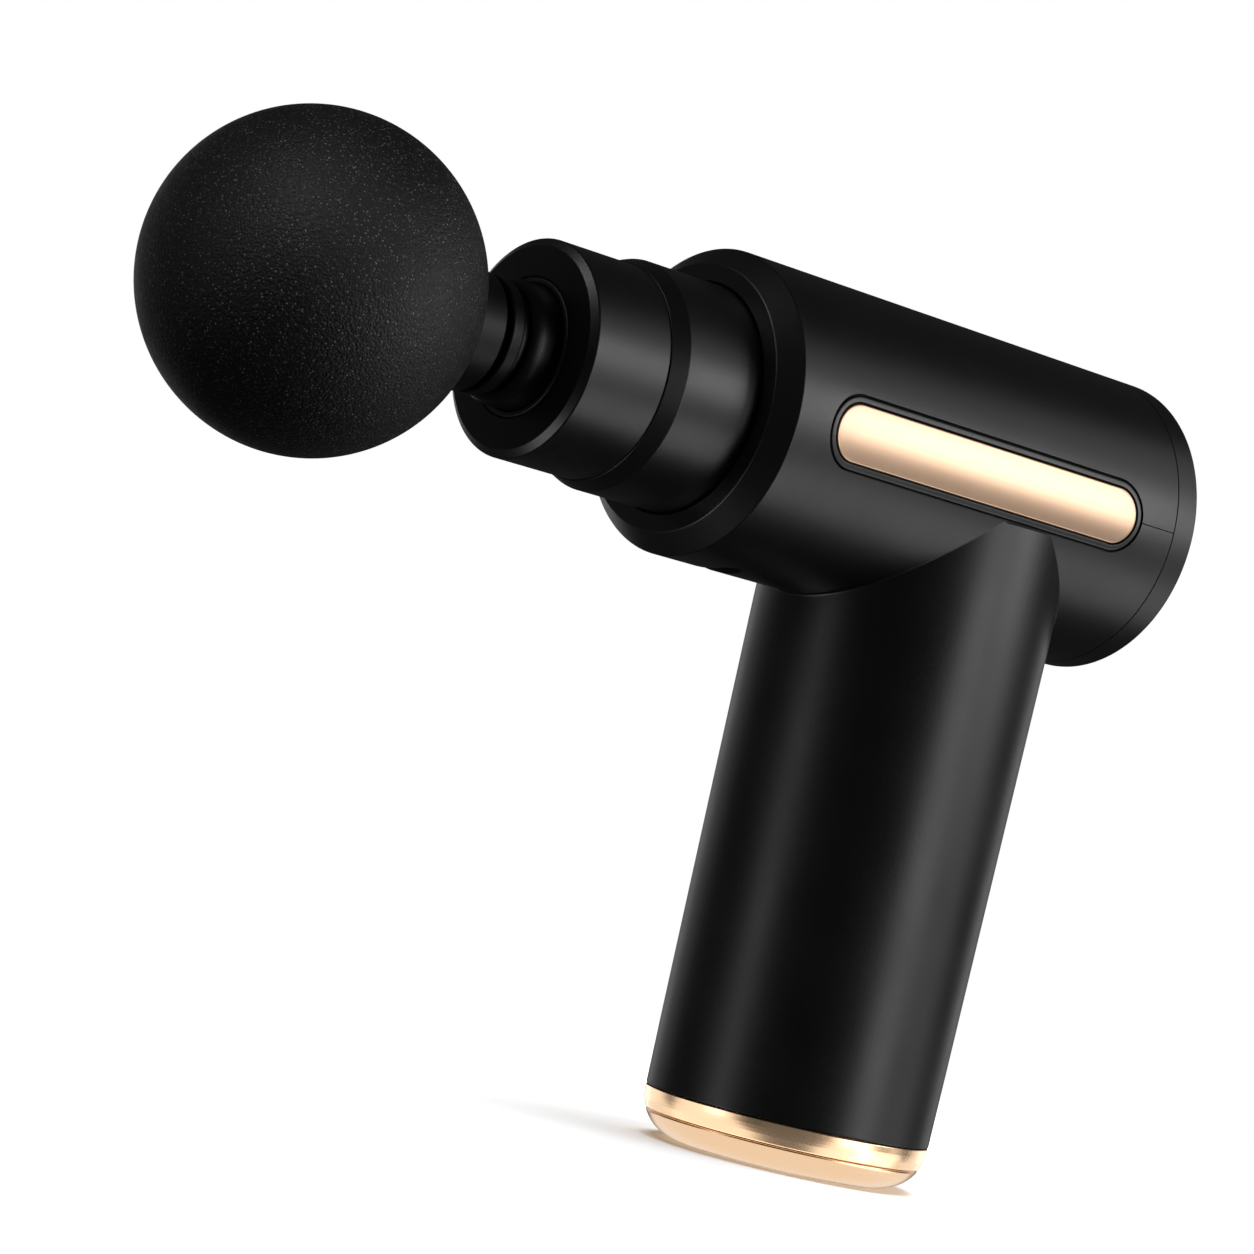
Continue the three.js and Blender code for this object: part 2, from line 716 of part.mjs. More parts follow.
function connectingRod() {
  const [z0, z1] = ROD_Z;
  const bigEnd = [0, CRANK_THROW];
  const smallEnd = [WRIST_X, ROD_SET];
  const length = Math.hypot(bigEnd[0] - smallEnd[0], bigEnd[1] - smallEnd[1]);
  const angle = Math.atan2(bigEnd[1] - smallEnd[1], bigEnd[0] - smallEnd[0]);
  const beam = new THREE.BoxGeometry(length, BEAM_WIDTH, z1 - z0 - 0.8)
    .rotateZ(angle)
    .translate((bigEnd[0] + smallEnd[0]) / 2, (bigEnd[1] + smallEnd[1]) / 2, (z0 + z1) / 2);
  const body = join(
    rodZ(z0, z1, BIG_END_R, MEDIUM, ...bigEnd),
    rodZ(z0, z1, SMALL_END_R, MEDIUM, ...smallEnd),
    solid(beam),
  );
  return cut(
    body,
    rodZ(z0 - 1, z1 + 1, BEARING_R + GAP, MEDIUM, ...bigEnd),
    rodZ(z0 - 1, z1 + 1, SMALL_HOLE_R, MEDIUM, ...smallEnd),
  );
}

// ---------------------------------------------------------------- power and electronics
const CELL_TOP = CELL_BASE + CELL_LENGTH;
const CRADLE_R = 19.8;
const CRADLE_FRONT = -8;
const CRADLE_REAR = 14.5;
const LOWER_CRADLE = [14.3, 22];
const UPPER_CRADLE = [75, 83.9];
const TERMINAL_R = 3.4;
const LINK_HALF = [4, 13];
const LINK_THICK = 0.3;

function batteryCell(side) {
  const groove = CELL_TOP - 4;
  return turnedZ(
    [
      [CELL_BASE, 0],
      [CELL_BASE, CELL_R - 0.4],
      [CELL_BASE + 0.4, CELL_R],
      [groove, CELL_R],
      [groove + 0.5, CELL_R - 0.5],
      [groove + 1, CELL_R],
      [CELL_TOP - 1, CELL_R],
      [CELL_TOP - 1, TERMINAL_R],
      [CELL_TOP, TERMINAL_R],
      [CELL_TOP, 0],
    ],
    ROUND / 2,
    CELL_X,
    side * CELL_Y,
  );
}

// A slice of the handle's inside with a round pocket for each cell.
function cradle([from, to], [pocketFrom, pocketTo]) {
  const block = rodZ(from, to, CRADLE_R, MEDIUM, 0, 0).intersect(
    box(CRADLE_FRONT, CRADLE_REAR, -30, 30, from - 1, to + 1),
  );
  const pockets = [-1, 1].map((side) =>
    rodZ(pocketFrom, pocketTo, CELL_R + GAP, MEDIUM, CELL_X, side * CELL_Y),
  );
  return cut(block, ...pockets);
}

const linkBlock = (spare, from, to) => {
  const [halfX, halfY] = LINK_HALF.map((half) => half + spare);
  return box(CELL_X - halfX, CELL_X + halfX, -halfY, halfY, from, to);
};

const batteryCradleLower = () => cradle(LOWER_CRADLE, [CELL_BASE - GAP, LOWER_CRADLE[1] + 1]);

function batteryCradleUpper() {
  const roof = CELL_TOP + GAP + LINK_THICK + GAP;
  const channel = linkBlock(GAP, CELL_TOP - 3, roof);
  return cut(cradle(UPPER_CRADLE, [UPPER_CRADLE[0] - 1, roof]), channel);
}

const cellLink = () => linkBlock(0, CELL_TOP + GAP, CELL_TOP + GAP + LINK_THICK);

const BATTERY_BOARD_X = -10.2;
const BATTERY_BOARD_HALF = 12;
const BATTERY_BOARD_Z = [24, 74];

// A chip on the battery board: its height off the board, its span along Y, then along Z.
const batteryChips = [
  [2, [-7, 2], [34, 41]],
  [3.2, [-9, 9], [62, 68]],
  [1.4, [3, 9], [48, 56]],
];

// A circuit board with its larger components standing on it as one body.
function batteryBoard() {
  const [back, half] = [BATTERY_BOARD_X + BOARD_THICK, BATTERY_BOARD_HALF];
  const plate = box(BATTERY_BOARD_X, back, -half, half, ...BATTERY_BOARD_Z);
  const chips = batteryChips.map(([height, y, z]) =>
    box(BATTERY_BOARD_X - height, BATTERY_BOARD_X + 0.2, ...y, ...z),
  );
  return join(plate, ...chips);
}

// A chip under the main board: its depth, its span along X, then along Y.
const mainChips = [
  [1.4, [-9, 1], [-6, 4]],
  [2.6, [5, 9], [-13, -5]],
  [3, [6, 14], [2, 12]],
];
const CAPACITOR = { drop: 4.2, radius: 2.6, x: -15, y: -10 };

function mainBoard() {
  const z = BOARD_Z;
  const chips = mainChips.map(([depth, x, y]) => box(...x, ...y, z - depth, z + 0.2));
  const { drop, radius, x, y } = CAPACITOR;
  const parts = join(
    box(-20, 17, -15, 15, z, z + BOARD_THICK),
    rodZ(z - drop, z + 0.2, radius, SMALL, x, y),
    ...chips,
  );
  const holes = boardScrewSpots.map((spot) => rodZ(z - 6, z + 3, SCREW_HOLE_R, TINY, ...spot));
  return cut(parts, ...holes);
}

// ---------------------------------------------------------------- rear end
const REAR_WEB = [28.5, 31];
const BOARD_FRONT = 28.9;
const BOARD_BACK = 30.5;
const WEB_BORE_R = 16.2;
const POST_R = 1.2;
const POST_CIRCLE_R = 13.8;
const LAMP_R = 0.65;
const MARK_R = 0.5;
const PORT_Z = AXIS_Z - PORT_DROP;
const PORT_HALF = [4.6, 1.7]; // outside of the port's metal mouth
const PORT_WALL = 0.35;
const PORT_BACK = 28.3;
const PORT_FACE = 35.4;

function rearFrame() {
  const ring = turnedX(
    [
      [REAR_WEB[0], WEB_BORE_R],
      [REAR_WEB[0], BARREL_R - WALL - GAP],
      [BARREL_REAR + GAP, BARREL_R - WALL - GAP],
      [BARREL_REAR + GAP, BARREL_R],
      [REAR_END - 0.5, BARREL_R],
      [REAR_END, BARREL_R - 0.5],
      [REAR_END, PANEL_R + 0.8],
      [REAR_END - 0.5, PANEL_R + GAP],
      [REAR_WEB[1], PANEL_R + GAP],
      [REAR_WEB[1], WEB_BORE_R],
    ],
    ROUND,
  );
  return rearScrewSpots.reduce(
    (left, [y, z]) => left.subtract(rodX(28, 32, SCREW_HOLE_R, TINY, y, z)),
    ring,
  );
}

const ledSpots = around(LED_CIRCLE_R, LED_ANGLES.map((fromTop) => 90 - fromTop));

function rearPanel() {
  const disc = turnedX(
    [
      [PANEL_FRONT, 0],
      [PANEL_FRONT, PANEL_R],
      [PANEL_FACE - 0.3, PANEL_R],
      [PANEL_FACE, PANEL_R - 0.3],
      [PANEL_FACE, 0],
    ],
    ROUND,
  );
  const posts = around(POST_CIRCLE_R, [30, 150, 215, 325]).map((spot) =>
    rodX(BOARD_BACK + GAP, PANEL_FRONT + 0.5, POST_R, TINY, ...spot),
  );
  const hole = (radius, sides, y, z) => rodX(PANEL_FRONT - 1, REAR_END, radius, sides, y, z);
  return cut(
    join(disc, ...posts),
    hole(BUTTON_R + GAP, MEDIUM, 0, AXIS_Z),
    hole(MARK_R + GAP, TINY, 0, AXIS_Z - MARK_DROP),
    rearSlot(PORT_HALF[0] + GAP, PORT_HALF[1] + GAP, PANEL_FRONT - 1, REAR_END, PORT_Z),
    ...ledSpots.map((spot) => hole(LAMP_R + GAP, TINY, ...spot)),
  );
}

const BUTTON_FRONT = 32.3;
const FLANGE_BACK = 33.1;
const BUTTON_FLANGE_R = 6.9;
const BUTTON_HOLLOW = [34.9, 5]; // its depth and its radius
const BUTTON_CHAMFER = 0.35;

// A cap with a flange behind the panel, hollow from inside, its flange notched for the indicator.
function powerButton() {
  const cap = turnedX(
    [
      [BUTTON_HOLLOW[0], 0],
      BUTTON_HOLLOW,
      [BUTTON_FRONT, BUTTON_HOLLOW[1]],
      [BUTTON_FRONT, BUTTON_FLANGE_R],
      [FLANGE_BACK, BUTTON_FLANGE_R],
      [FLANGE_BACK, BUTTON_R],
      [BUTTON_FACE - BUTTON_CHAMFER, BUTTON_R],
      [BUTTON_FACE, BUTTON_R - BUTTON_CHAMFER],
      [BUTTON_FACE, 0],
    ],
    MEDIUM,
  );
  const notch = box(
    BUTTON_FRONT - GAP,
    FLANGE_BACK + 0.1,
    -1.1,
    1.1,
    AXIS_Z - MARK_DROP - 0.9,
    AXIS_Z - MARK_DROP + 0.8,
  );
  return cut(cap, notch);
}

const SWITCH = [30.8, 32.9];
const SWITCH_HALF = 3.1;
const SWITCH_STEM_R = 1.6;
const STEM_SPAN = [31.9, 34.6];

function switchBody() {
  const block = box(
    ...SWITCH,
    -SWITCH_HALF,
    SWITCH_HALF,
    AXIS_Z - SWITCH_HALF,
    AXIS_Z + SWITCH_HALF,
  );
  return cut(block, rodX(SWITCH[0] + GAP, SWITCH[1] + 1, SWITCH_STEM_R + GAP, SMALL, 0, AXIS_Z));
}

const switchStem = () => rodX(...STEM_SPAN, SWITCH_STEM_R, SMALL, 0, AXIS_Z);

const GUIDE_HALF = 1.4;
const GUIDE_FRONT = 32;
const GUIDE_SWEEP = 72; // degrees to either side of the top

// A clear arc behind the panel with one short post through each of its lamp holes.
function ledLightGuide() {
  const sweep = THREE.MathUtils.degToRad(GUIDE_SWEEP);
  const [from, to] = [Math.PI / 2 - sweep, Math.PI / 2 + sweep];
  const outline = new THREE.Shape();
  outline.absarc(0, 0, LED_CIRCLE_R + GUIDE_HALF, from, to, false);
  outline.absarc(0, 0, LED_CIRCLE_R - GUIDE_HALF, to, from, true);
  const plate = extruded({ shape: outline, curveSegments: 16 }, 1)
    .rotateX(Math.PI / 2)
    .rotateZ(Math.PI / 2)
    .translate(GUIDE_FRONT, 0, AXIS_Z);
  const posts = ledSpots.map((spot) => rodX(GUIDE_FRONT + 0.5, PANEL_FACE, LAMP_R, TINY, ...spot));
  return join(solid(plate), ...posts);
}

const indicatorPipe = () =>
  rodX(BOARD_BACK + GAP, PANEL_FACE, MARK_R, TINY, 0, AXIS_Z - MARK_DROP);

const CONTROL_BOARD_R = 15.9;

function controlBoard() {
  const portNotch = box(
    BOARD_FRONT - 1,
    BOARD_BACK + 1,
    -PORT_HALF[0] - 0.5,
    PORT_HALF[0] + 0.5,
    AXIS_Z - CONTROL_BOARD_R - 1,
    PORT_Z + PORT_HALF[1] + 0.6,
  );
  return cut(rodX(BOARD_FRONT, BOARD_BACK, CONTROL_BOARD_R, MEDIUM, 0, AXIS_Z), portNotch);
}

function usbShell() {
  const [halfWidth, halfHeight] = PORT_HALF;
  const mouth = rearSlot(
    halfWidth - PORT_WALL,
    halfHeight - PORT_WALL,
    PORT_BACK + 0.7,
    PORT_FACE + 1,
    PORT_Z,
  );
  return cut(rearSlot(halfWidth, halfHeight, PORT_BACK, PORT_FACE, PORT_Z), mouth);
}

const TONGUE = { x: [29.3, 34.6], halfWidth: 3.3, halfHeight: 0.35 };

function usbTongue() {
  const { x, halfWidth, halfHeight } = TONGUE;
  return box(...x, -halfWidth, halfWidth, PORT_Z - halfHeight, PORT_Z + halfHeight);
}

// ---------------------------------------------------------------- base
// Radius of the rounded base at a height.
const baseRadius = (z) => {
  const down = Math.max(EDGE - z, 0);
  return handleRadius(HANDLE_BASE_Z) - EDGE + Math.sqrt(EDGE * EDGE - down * down);
};

const baseCurve = (from, to, steps) =>
  evenly(steps).map((share) => {
    const z = from + (to - from) * share;
    return [z, baseRadius(z)];
  });

const SPIGOT_TOP = 13;
const SPIGOT_WALL = 1.6;
const HEAD_SEAT = 1.8; // depth of the screw heads' pockets above the band's underside

function baseBand() {
  const top = HANDLE_BASE_Z - GAP;
  const spigot = HANDLE_BASE_R - WALL - GAP;
  const body = turnedZ(
    [
      [BAND_Z, 0],
      ...baseCurve(BAND_Z, top, 3),
      [top, spigot],
      [SPIGOT_TOP, spigot],
      [SPIGOT_TOP, spigot - SPIGOT_WALL],
      [top, spigot - SPIGOT_WALL],
      [top, 0],
    ],
    ROUND,
  );
  const past = SPIGOT_TOP + 1;
  const openings = [-1, 1].flatMap((side) => [
    rodZ(SPIGOT_TOP - 1, past, BOSS_R + 0.6, SMALL, side * BASE_SCREW_X, 0),
    rodZ(BAND_Z - 1, past, SCREW_HOLE_R, TINY, side * BASE_SCREW_X, 0),
    rodZ(BAND_Z - 1, BAND_Z + HEAD_SEAT, SCREW_HEAD_R + 0.4, SMALL, side * BASE_SCREW_X, 0),
  ]);
  return cut(body, ...openings);
}

// The bumper's profile steps evenly round the edge's arc, up to its top.
function baseBumper() {
  const sweep = Math.acos(1 - BUMPER_TOP / EDGE);
  const curve = evenly(5).map((share) => {
    const z = EDGE * (1 - Math.cos(sweep * share));
    return [z, baseRadius(z)];
  });
  return turnedZ([[0, 0], ...curve, [BUMPER_TOP, 0]], ROUND);
}

// ---------------------------------------------------------------- assembly
const gun = new THREE.Group();
gun.name = "massage_gun";

function piece(name, body, material) {
  const mesh = new THREE.Mesh(geometryOf(body), material);
  mesh.name = name;
  gun.add(mesh);
}

piece("housing_lower", housingLower(), shellBlack());
piece("housing_upper", housingUpper(), shellBlack());
piece("front_collar", frontCollar(), shellBlack());
piece("nose_sleeve", noseSleeve(), shellBlack());
piece("guide_bush", guideBush(), carrierGrey());
piece("dust_seal", dustSeal(), rubberBlack());
for (const [side, word] of [[-1, "left"], [1, "right"]]) {
  piece(`inlay_surround_${word}`, inlaySurround(side), panelBlack());
  piece(`inlay_strip_${word}`, inlayStrip(side), gold());
}

piece("base_band", baseBand(), gold());
piece("base_bumper", baseBumper(), gold());
[-1, 1].forEach((side, i) => {
  const screw = screwZ(side * BASE_SCREW_X, 0, BAND_Z + HEAD_SEAT, 14, true);
  piece(`base_screw_${i + 1}`, screw, steel());
});

piece("plunger", plunger(), glossBlack());
piece("grip_ring", gripRing(), rubberBlack());
piece("wrist_pin", wristPin(), steel());
piece("head_stem", headStem(), shellBlack());
piece("plug_ring_front", plugRing(RING_SPOTS[0]), rubberBlack());
piece("plug_ring_rear", plugRing(RING_SPOTS[1]), rubberBlack());
piece("head_ball", headBall(), foamBlack());

piece("motor_bracket", motorBracket(), aluminium());
[-1, 1].forEach((side, i) => {
  const z = BRACKET_Z + BRACKET_THICK + 0.1;
  piece(`bracket_screw_${i + 1}`, screwZ(side * BRACKET_SCREW_X, 0, z, 10, false), steel());
});
piece("motor_mount", motorMount(), aluminium());
piece("motor_stator", motorStator(), ironGrey());
piece("motor_bearing_lower", motorBearing(BEARING_Z[0]), steel());
piece("motor_bearing_upper", motorBearing(BEARING_Z[1]), steel());
piece("motor_rotor", motorRotor(), steel());
piece("rotor_magnet_ring", rotorMagnets(), ironGrey());
piece("motor_shaft", motorShaft(), steel());
piece("crank_counterweight", crankCounterweight(), brass());
piece("crank_pin", crankPin(), steel());
piece("crank_pin_clip", pinClip(), steel());
piece("big_end_bearing", bigEndBearing(), steel());
piece("connecting_rod", connectingRod(), aluminium());

piece("battery_cell_left", batteryCell(-1), cellSleeve());
piece("battery_cell_right", batteryCell(1), cellSleeve());
piece("battery_cradle_lower", batteryCradleLower(), carrierGrey());
piece("battery_cradle_upper", batteryCradleUpper(), carrierGrey());
piece("cell_link", cellLink(), steel());
piece("battery_board", batteryBoard(), boardGreen());
piece("main_board", mainBoard(), boardGreen());
boardScrewSpots.forEach(([x, y], i) => {
  piece(`board_screw_${i + 1}`, screwZ(x, y, BOARD_Z - 0.1, 7.5, true), steel());
});

piece("rear_frame", rearFrame(), shellBlack());
rearScrewSpots.forEach(([y, z], i) => {
  piece(`rear_screw_${i + 1}`, screwX(REAR_WEB[1] + 0.1, y, z, 11.5), steel());
});
piece("rear_panel", rearPanel(), panelBlack());
piece("power_button", powerButton(), panelBlack());
piece("switch_stem", switchStem(), carrierGrey());
piece("switch_body", switchBody(), steel());
piece("led_light_guide", ledLightGuide(), lampBlue());
piece("indicator_pipe", indicatorPipe(), lampBlue());
piece("control_board", controlBoard(), boardGreen());
piece("usb_shell", usbShell(), steel());
piece("usb_tongue", usbTongue(), carrierGrey());

export default gun;
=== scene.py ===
import json
import math

import bmesh
import bpy
import numpy as np
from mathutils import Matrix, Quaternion, Vector


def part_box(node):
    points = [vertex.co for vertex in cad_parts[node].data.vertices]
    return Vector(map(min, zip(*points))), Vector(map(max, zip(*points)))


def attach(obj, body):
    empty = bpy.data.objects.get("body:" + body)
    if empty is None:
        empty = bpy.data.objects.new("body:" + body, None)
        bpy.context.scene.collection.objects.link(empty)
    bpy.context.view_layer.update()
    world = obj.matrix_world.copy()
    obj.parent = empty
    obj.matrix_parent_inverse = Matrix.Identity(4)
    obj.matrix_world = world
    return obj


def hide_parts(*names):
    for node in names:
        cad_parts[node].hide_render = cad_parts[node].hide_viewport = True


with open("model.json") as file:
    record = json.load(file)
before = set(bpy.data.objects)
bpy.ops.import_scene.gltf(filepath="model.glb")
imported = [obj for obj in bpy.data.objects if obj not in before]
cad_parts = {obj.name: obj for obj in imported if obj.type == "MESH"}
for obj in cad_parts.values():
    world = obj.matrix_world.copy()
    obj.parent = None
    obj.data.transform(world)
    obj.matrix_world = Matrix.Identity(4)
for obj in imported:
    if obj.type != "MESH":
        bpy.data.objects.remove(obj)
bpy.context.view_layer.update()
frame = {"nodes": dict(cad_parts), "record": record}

MM = 0.001

# ---- sizes, in millimetres
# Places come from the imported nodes' boxes. The rest repeats the design's own values.


def low(node, axis):
    """The lower side of a node's box along an axis."""
    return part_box(node)[0]["xyz".index(axis)] / MM


def high(node, axis):
    """The upper side of a node's box along an axis."""
    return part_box(node)[1]["xyz".index(axis)] / MM


AXIS_Z = (low("head_ball", "z") + high("head_ball", "z")) / 2
BARREL_R = high("housing_upper", "z") - AXIS_Z
BARREL_FRONT = low("housing_upper", "x")
BARREL_REAR = high("housing_upper", "x")
REAR_END = high("rear_frame", "x")
CHAMFER = 3.05
WALL = 2.2
GAP = 0.3
FRONT_WALL = 4.5  # thickness of the barrel's front end
VENT_X = -41.3
VENT_REACH = 6.2
VENT_HALF = 2.0

HANDLE_TOP_R = 23.8
HANDLE_BASE_R = 22.95
HANDLE_BASE_Z = low("housing_lower", "z")
HANDLE_STRAIGHT_Z = AXIS_Z - BARREL_R

COLLAR_R = 17.9
COLLAR_FRONT = low("front_collar", "x")
COLLAR_BEVEL = 2.8
COLLAR_REAR = -50.4
COLLAR_FLANGE_R = 21.3
COLLAR_FLANGE_FRONT = -52.6
COLLAR_BORE_R = 15.0
NOSE_FRONT = low("nose_sleeve", "x")
NOSE_R = high("nose_sleeve", "z") - AXIS_Z
NOSE_HOLE_R = 10.6
NOSE_BORE_R = 13.3
NOSE_SPIGOT_R = 14.7
NOSE_REAR = -56.0
SEAL_R = 12.9

PLUNGER_R = high("plunger", "z") - AXIS_Z
PLUNGER_REAR = high("plunger", "x")
PLUNGER_SHOULDER = -92.3
NECK_FRONT = low("plunger", "x")
NECK_R = 7.9
SOCKET_R = 7.25
SOCKET_END = -75.6
GRIP_R = 9.0
WRIST_X = -34
WRIST_HOLE_R = 2.3
ROD_SLOT_HALF = 2.5
ROD_SLOT_REACH = 10

BALL_R = (high("head_ball", "z") - low("head_ball", "z")) / 2
BALL_X = low("head_ball", "x") + BALL_R
STEM_R = high("head_stem", "z") - AXIS_Z
STEM_END = -97.1
PLUG_R = 6.9
PLUG_END = high("head_stem", "x")
PLUG_RING_SPOTS = (-92.5, -80.5)
PLUG_GROOVE_R = 5.7
PLUG_GROOVE_HALF = 1.1

INLAY_FRONT = low("inlay_strip_left", "x")
INLAY_REAR = high("inlay_strip_left", "x")
INLAY_HALF = 4.5
SURROUND_HALF = 5.8
POCKET_HALF = 5.98
POCKET_FLOOR = 22.4

PANEL_R = 20.4
PANEL_FRONT = 33.4
PANEL_FACE = 35.7
REAR_WEB = 28.5
REAR_WEB_R = 16.2
REAR_SEAT = 31.0
BUTTON_R = 6.2
BUTTON_FACE = high("power_button", "x")
BUTTON_SKIRT_R = 5.0
LED_CIRCLE_R = 10.3
LED_ANGLES = (-65, -39.5, -13, 13, 39.5, 65)
PORT_Z = AXIS_Z - 13.5
MARK_Z = AXIS_Z - 7.1  # the small indicator

BAND_RIM_R = 20.3
BAND_STEP_R = 18.7
BAND_STEP_Z = 13.0
EDGE = 7.1  # rounding of the base's lower edge
BAND_Z = low("base_band", "z")
BUMPER_TOP = high("base_bumper", "z")

ROUND = 192  # facets round the large turned pieces
MIDDLING = 128
FINE = 96
WELD = 1e-7  # points closer than this are one, in metres


def handle_radius(z):
    """The handle's tapering radius."""
    share = (z - HANDLE_BASE_Z) / (HANDLE_STRAIGHT_Z - HANDLE_BASE_Z)
    return HANDLE_BASE_R + (HANDLE_TOP_R - HANDLE_BASE_R) * min(max(share, 0.0), 1.0)


def base_radius(z):
    """The gold base's radius, with its rounded lower edge."""
    down = max(EDGE - z, 0.0)
    return HANDLE_BASE_R - EDGE + math.sqrt(EDGE * EDGE - down * down)


# ---- materials


def nodes_of(name):
    """A new material with its node tree and shader."""
    material = bpy.data.materials.new(name)
    material.use_nodes = True
    tree = material.node_tree
    shader = tree.nodes["Principled BSDF"]
    return material, tree, shader


def add(tree, kind, **values):
    """A new node with its settings."""
    node = tree.nodes.new(kind)
    for key, value in values.items():
        if hasattr(node, key):
            setattr(node, key, value)
        else:
            node.inputs[key.replace("_", " ")].default_value = value
    return node


def grain(tree, scale, detail=2.0, kind="ShaderNodeTexNoise", stretch=(1, 1, 1)):
    """A solid texture in the piece's own space."""
    place = add(tree, "ShaderNodeTexCoord")
    turn = add(tree, "ShaderNodeMapping")
    turn.inputs["Scale"].default_value = stretch
    texture = add(tree, kind)
    texture.inputs["Scale"].default_value = scale
    if "Detail" in texture.inputs:
        texture.inputs["Detail"].default_value = detail
    tree.links.new(place.outputs["Object"], turn.inputs["Vector"])
    tree.links.new(turn.outputs["Vector"], texture.inputs["Vector"])
    return texture


def combined(tree, operation, first, second):
    """Two values through one arithmetic node."""
    node = add(tree, "ShaderNodeMath", operation=operation)
    tree.links.new(first, node.inputs[0])
    tree.links.new(second, node.inputs[1])
    return node.outputs["Value"]


def spread(tree, source, low_value, high_value, low_in=0.3, high_in=0.7, curve="LINEAR"):
    """A value mapped from one range onto another."""
    ramp = add(tree, "ShaderNodeMapRange", interpolation_type=curve)
    ramp.inputs["From Min"].default_value = low_in
    ramp.inputs["From Max"].default_value = high_in
    ramp.inputs["To Min"].default_value = low_value
    ramp.inputs["To Max"].default_value = high_value
    tree.links.new(source, ramp.inputs["Value"])
    return ramp.outputs["Result"]


def two_tone(tree, source, dark, light):
    """A colour between two, by a texture's value."""
    mix = add(tree, "ShaderNodeMix", data_type="RGBA")
    mix.inputs["A"].default_value = (*dark, 1)
    mix.inputs["B"].default_value = (*light, 1)
    tree.links.new(source, mix.inputs["Factor"])
    return mix.outputs["Result"]


def bump(tree, shader, source, depth, strength=1.0, previous=None):
    """Fine relief from a texture, its depth in millimetres."""
    node = add(tree, "ShaderNodeBump")
    node.inputs["Strength"].default_value = strength
    node.inputs["Distance"].default_value = depth * MM
    tree.links.new(source, node.inputs["Height"])
    if previous is not None:
        tree.links.new(previous, node.inputs["Normal"])
    tree.links.new(node.outputs["Normal"], shader.inputs["Normal"])
    return node.outputs["Normal"]


def moulded(name, dark, light, rough, grain_scale=4200, depth=0.01, specular=0.5):
    """Moulded plastic: fine spark-eroded grain, cloudy gloss and a slight tone variation."""
    material, tree, shader = nodes_of(name)
    fine = grain(tree, grain_scale, 3.0)
    cloud = grain(tree, 55, 4.0)
    tone = spread(tree, cloud.outputs["Fac"], 0.0, 1.0)
    tree.links.new(two_tone(tree, tone, dark, light), shader.inputs["Base Color"])
    broad = spread(tree, cloud.outputs["Fac"], *rough)
    gloss = combined(tree, "ADD", broad, spread(tree, fine.outputs["Fac"], -0.04, 0.04))
    tree.links.new(gloss, shader.inputs["Roughness"])
    bump(tree, shader, fine.outputs["Fac"], depth)
    shader.inputs["Specular IOR Level"].default_value = specular
    return material


def metal(name, dark, light, rough, stretch=(1, 1, 1), scale=900, depth=0.004):
    """Metal with fine drawn lines along the stretched direction."""
    material, tree, shader = nodes_of(name)
    lines = grain(tree, scale, 4.0, stretch=stretch)
    cloud = grain(tree, 40, 3.0)
    tone = spread(tree, cloud.outputs["Fac"], 0.0, 1.0)
    tree.links.new(two_tone(tree, tone, dark, light), shader.inputs["Base Color"])
    tree.links.new(spread(tree, lines.outputs["Fac"], *rough), shader.inputs["Roughness"])
    bump(tree, shader, lines.outputs["Fac"], depth)
    shader.inputs["Metallic"].default_value = 1.0
    return material


def foam_leather():
    """The ball's skin: a matt black leather grain with small pale flecks on some of its crests,
    painted in as sparkling highlights.
    """
    material, tree, shader = nodes_of("foam_skin")
    cells = grain(tree, 2100, kind="ShaderNodeTexVoronoi")
    fine = grain(tree, 3400, 5.0)
    patch = grain(tree, 60, 3.0)
    # Painted sparkle: pale flecks in the base colour stand in for glints off the grain.
    spot = spread(tree, cells.outputs["Distance"], 1.0, 0.0, 0.25, 0.6)
    chance = spread(tree, cells.outputs["Color"], 0.0, 1.0, 0.38, 0.92)
    painted_sparkle = combined(tree, "MULTIPLY", spot, chance)
    tint = two_tone(tree, painted_sparkle, (0.0018, 0.0018, 0.0018), (0.34, 0.335, 0.33))
    tree.links.new(tint, shader.inputs["Base Color"])
    tree.links.new(spread(tree, patch.outputs["Fac"], 0.44, 0.58), shader.inputs["Roughness"])
    first = bump(tree, shader, cells.outputs["Distance"], 0.12, 0.9)
    bump(tree, shader, fine.outputs["Fac"], 0.1, 0.9, first)
    shader.inputs["Specular IOR Level"].default_value = 0.28
    return material


def board_material():
    """Solder mask over faint copper tracks."""
    material, tree, shader = nodes_of("circuit_board")
    tracks = grain(tree, 260, kind="ShaderNodeTexVoronoi")
    tracks.feature = "DISTANCE_TO_EDGE"
    tone = spread(tree, tracks.outputs["Distance"], 1.0, 0.0, 0.02, 0.12)
    tint = two_tone(tree, tone, (0.008, 0.06, 0.03), (0.03, 0.16, 0.07))
    tree.links.new(tint, shader.inputs["Base Color"])
    bump(tree, shader, tone, 0.03)
    shader.inputs["Roughness"].default_value = 0.4
    return material


def lamp_material(name, strength):
    """A lit diffuser: a hot core that falls off to saturated blue towards its rim."""
    material, tree, shader = nodes_of(name)
    layer = add(tree, "ShaderNodeLayerWeight")
    layer.inputs["Blend"].default_value = 0.4
    tint = two_tone(tree, layer.outputs["Facing"], (0.2, 0.35, 1.0), (0.01, 0.04, 0.9))
    tree.links.new(tint, shader.inputs["Emission Color"])
    grainy = grain(tree, 2500)
    tree.links.new(spread(tree, grainy.outputs["Fac"], 0.25, 0.4), shader.inputs["Roughness"])
    shader.inputs["Base Color"].default_value = (0.2, 0.35, 0.9, 1)
    shader.inputs["Emission Strength"].default_value = strength
    return material


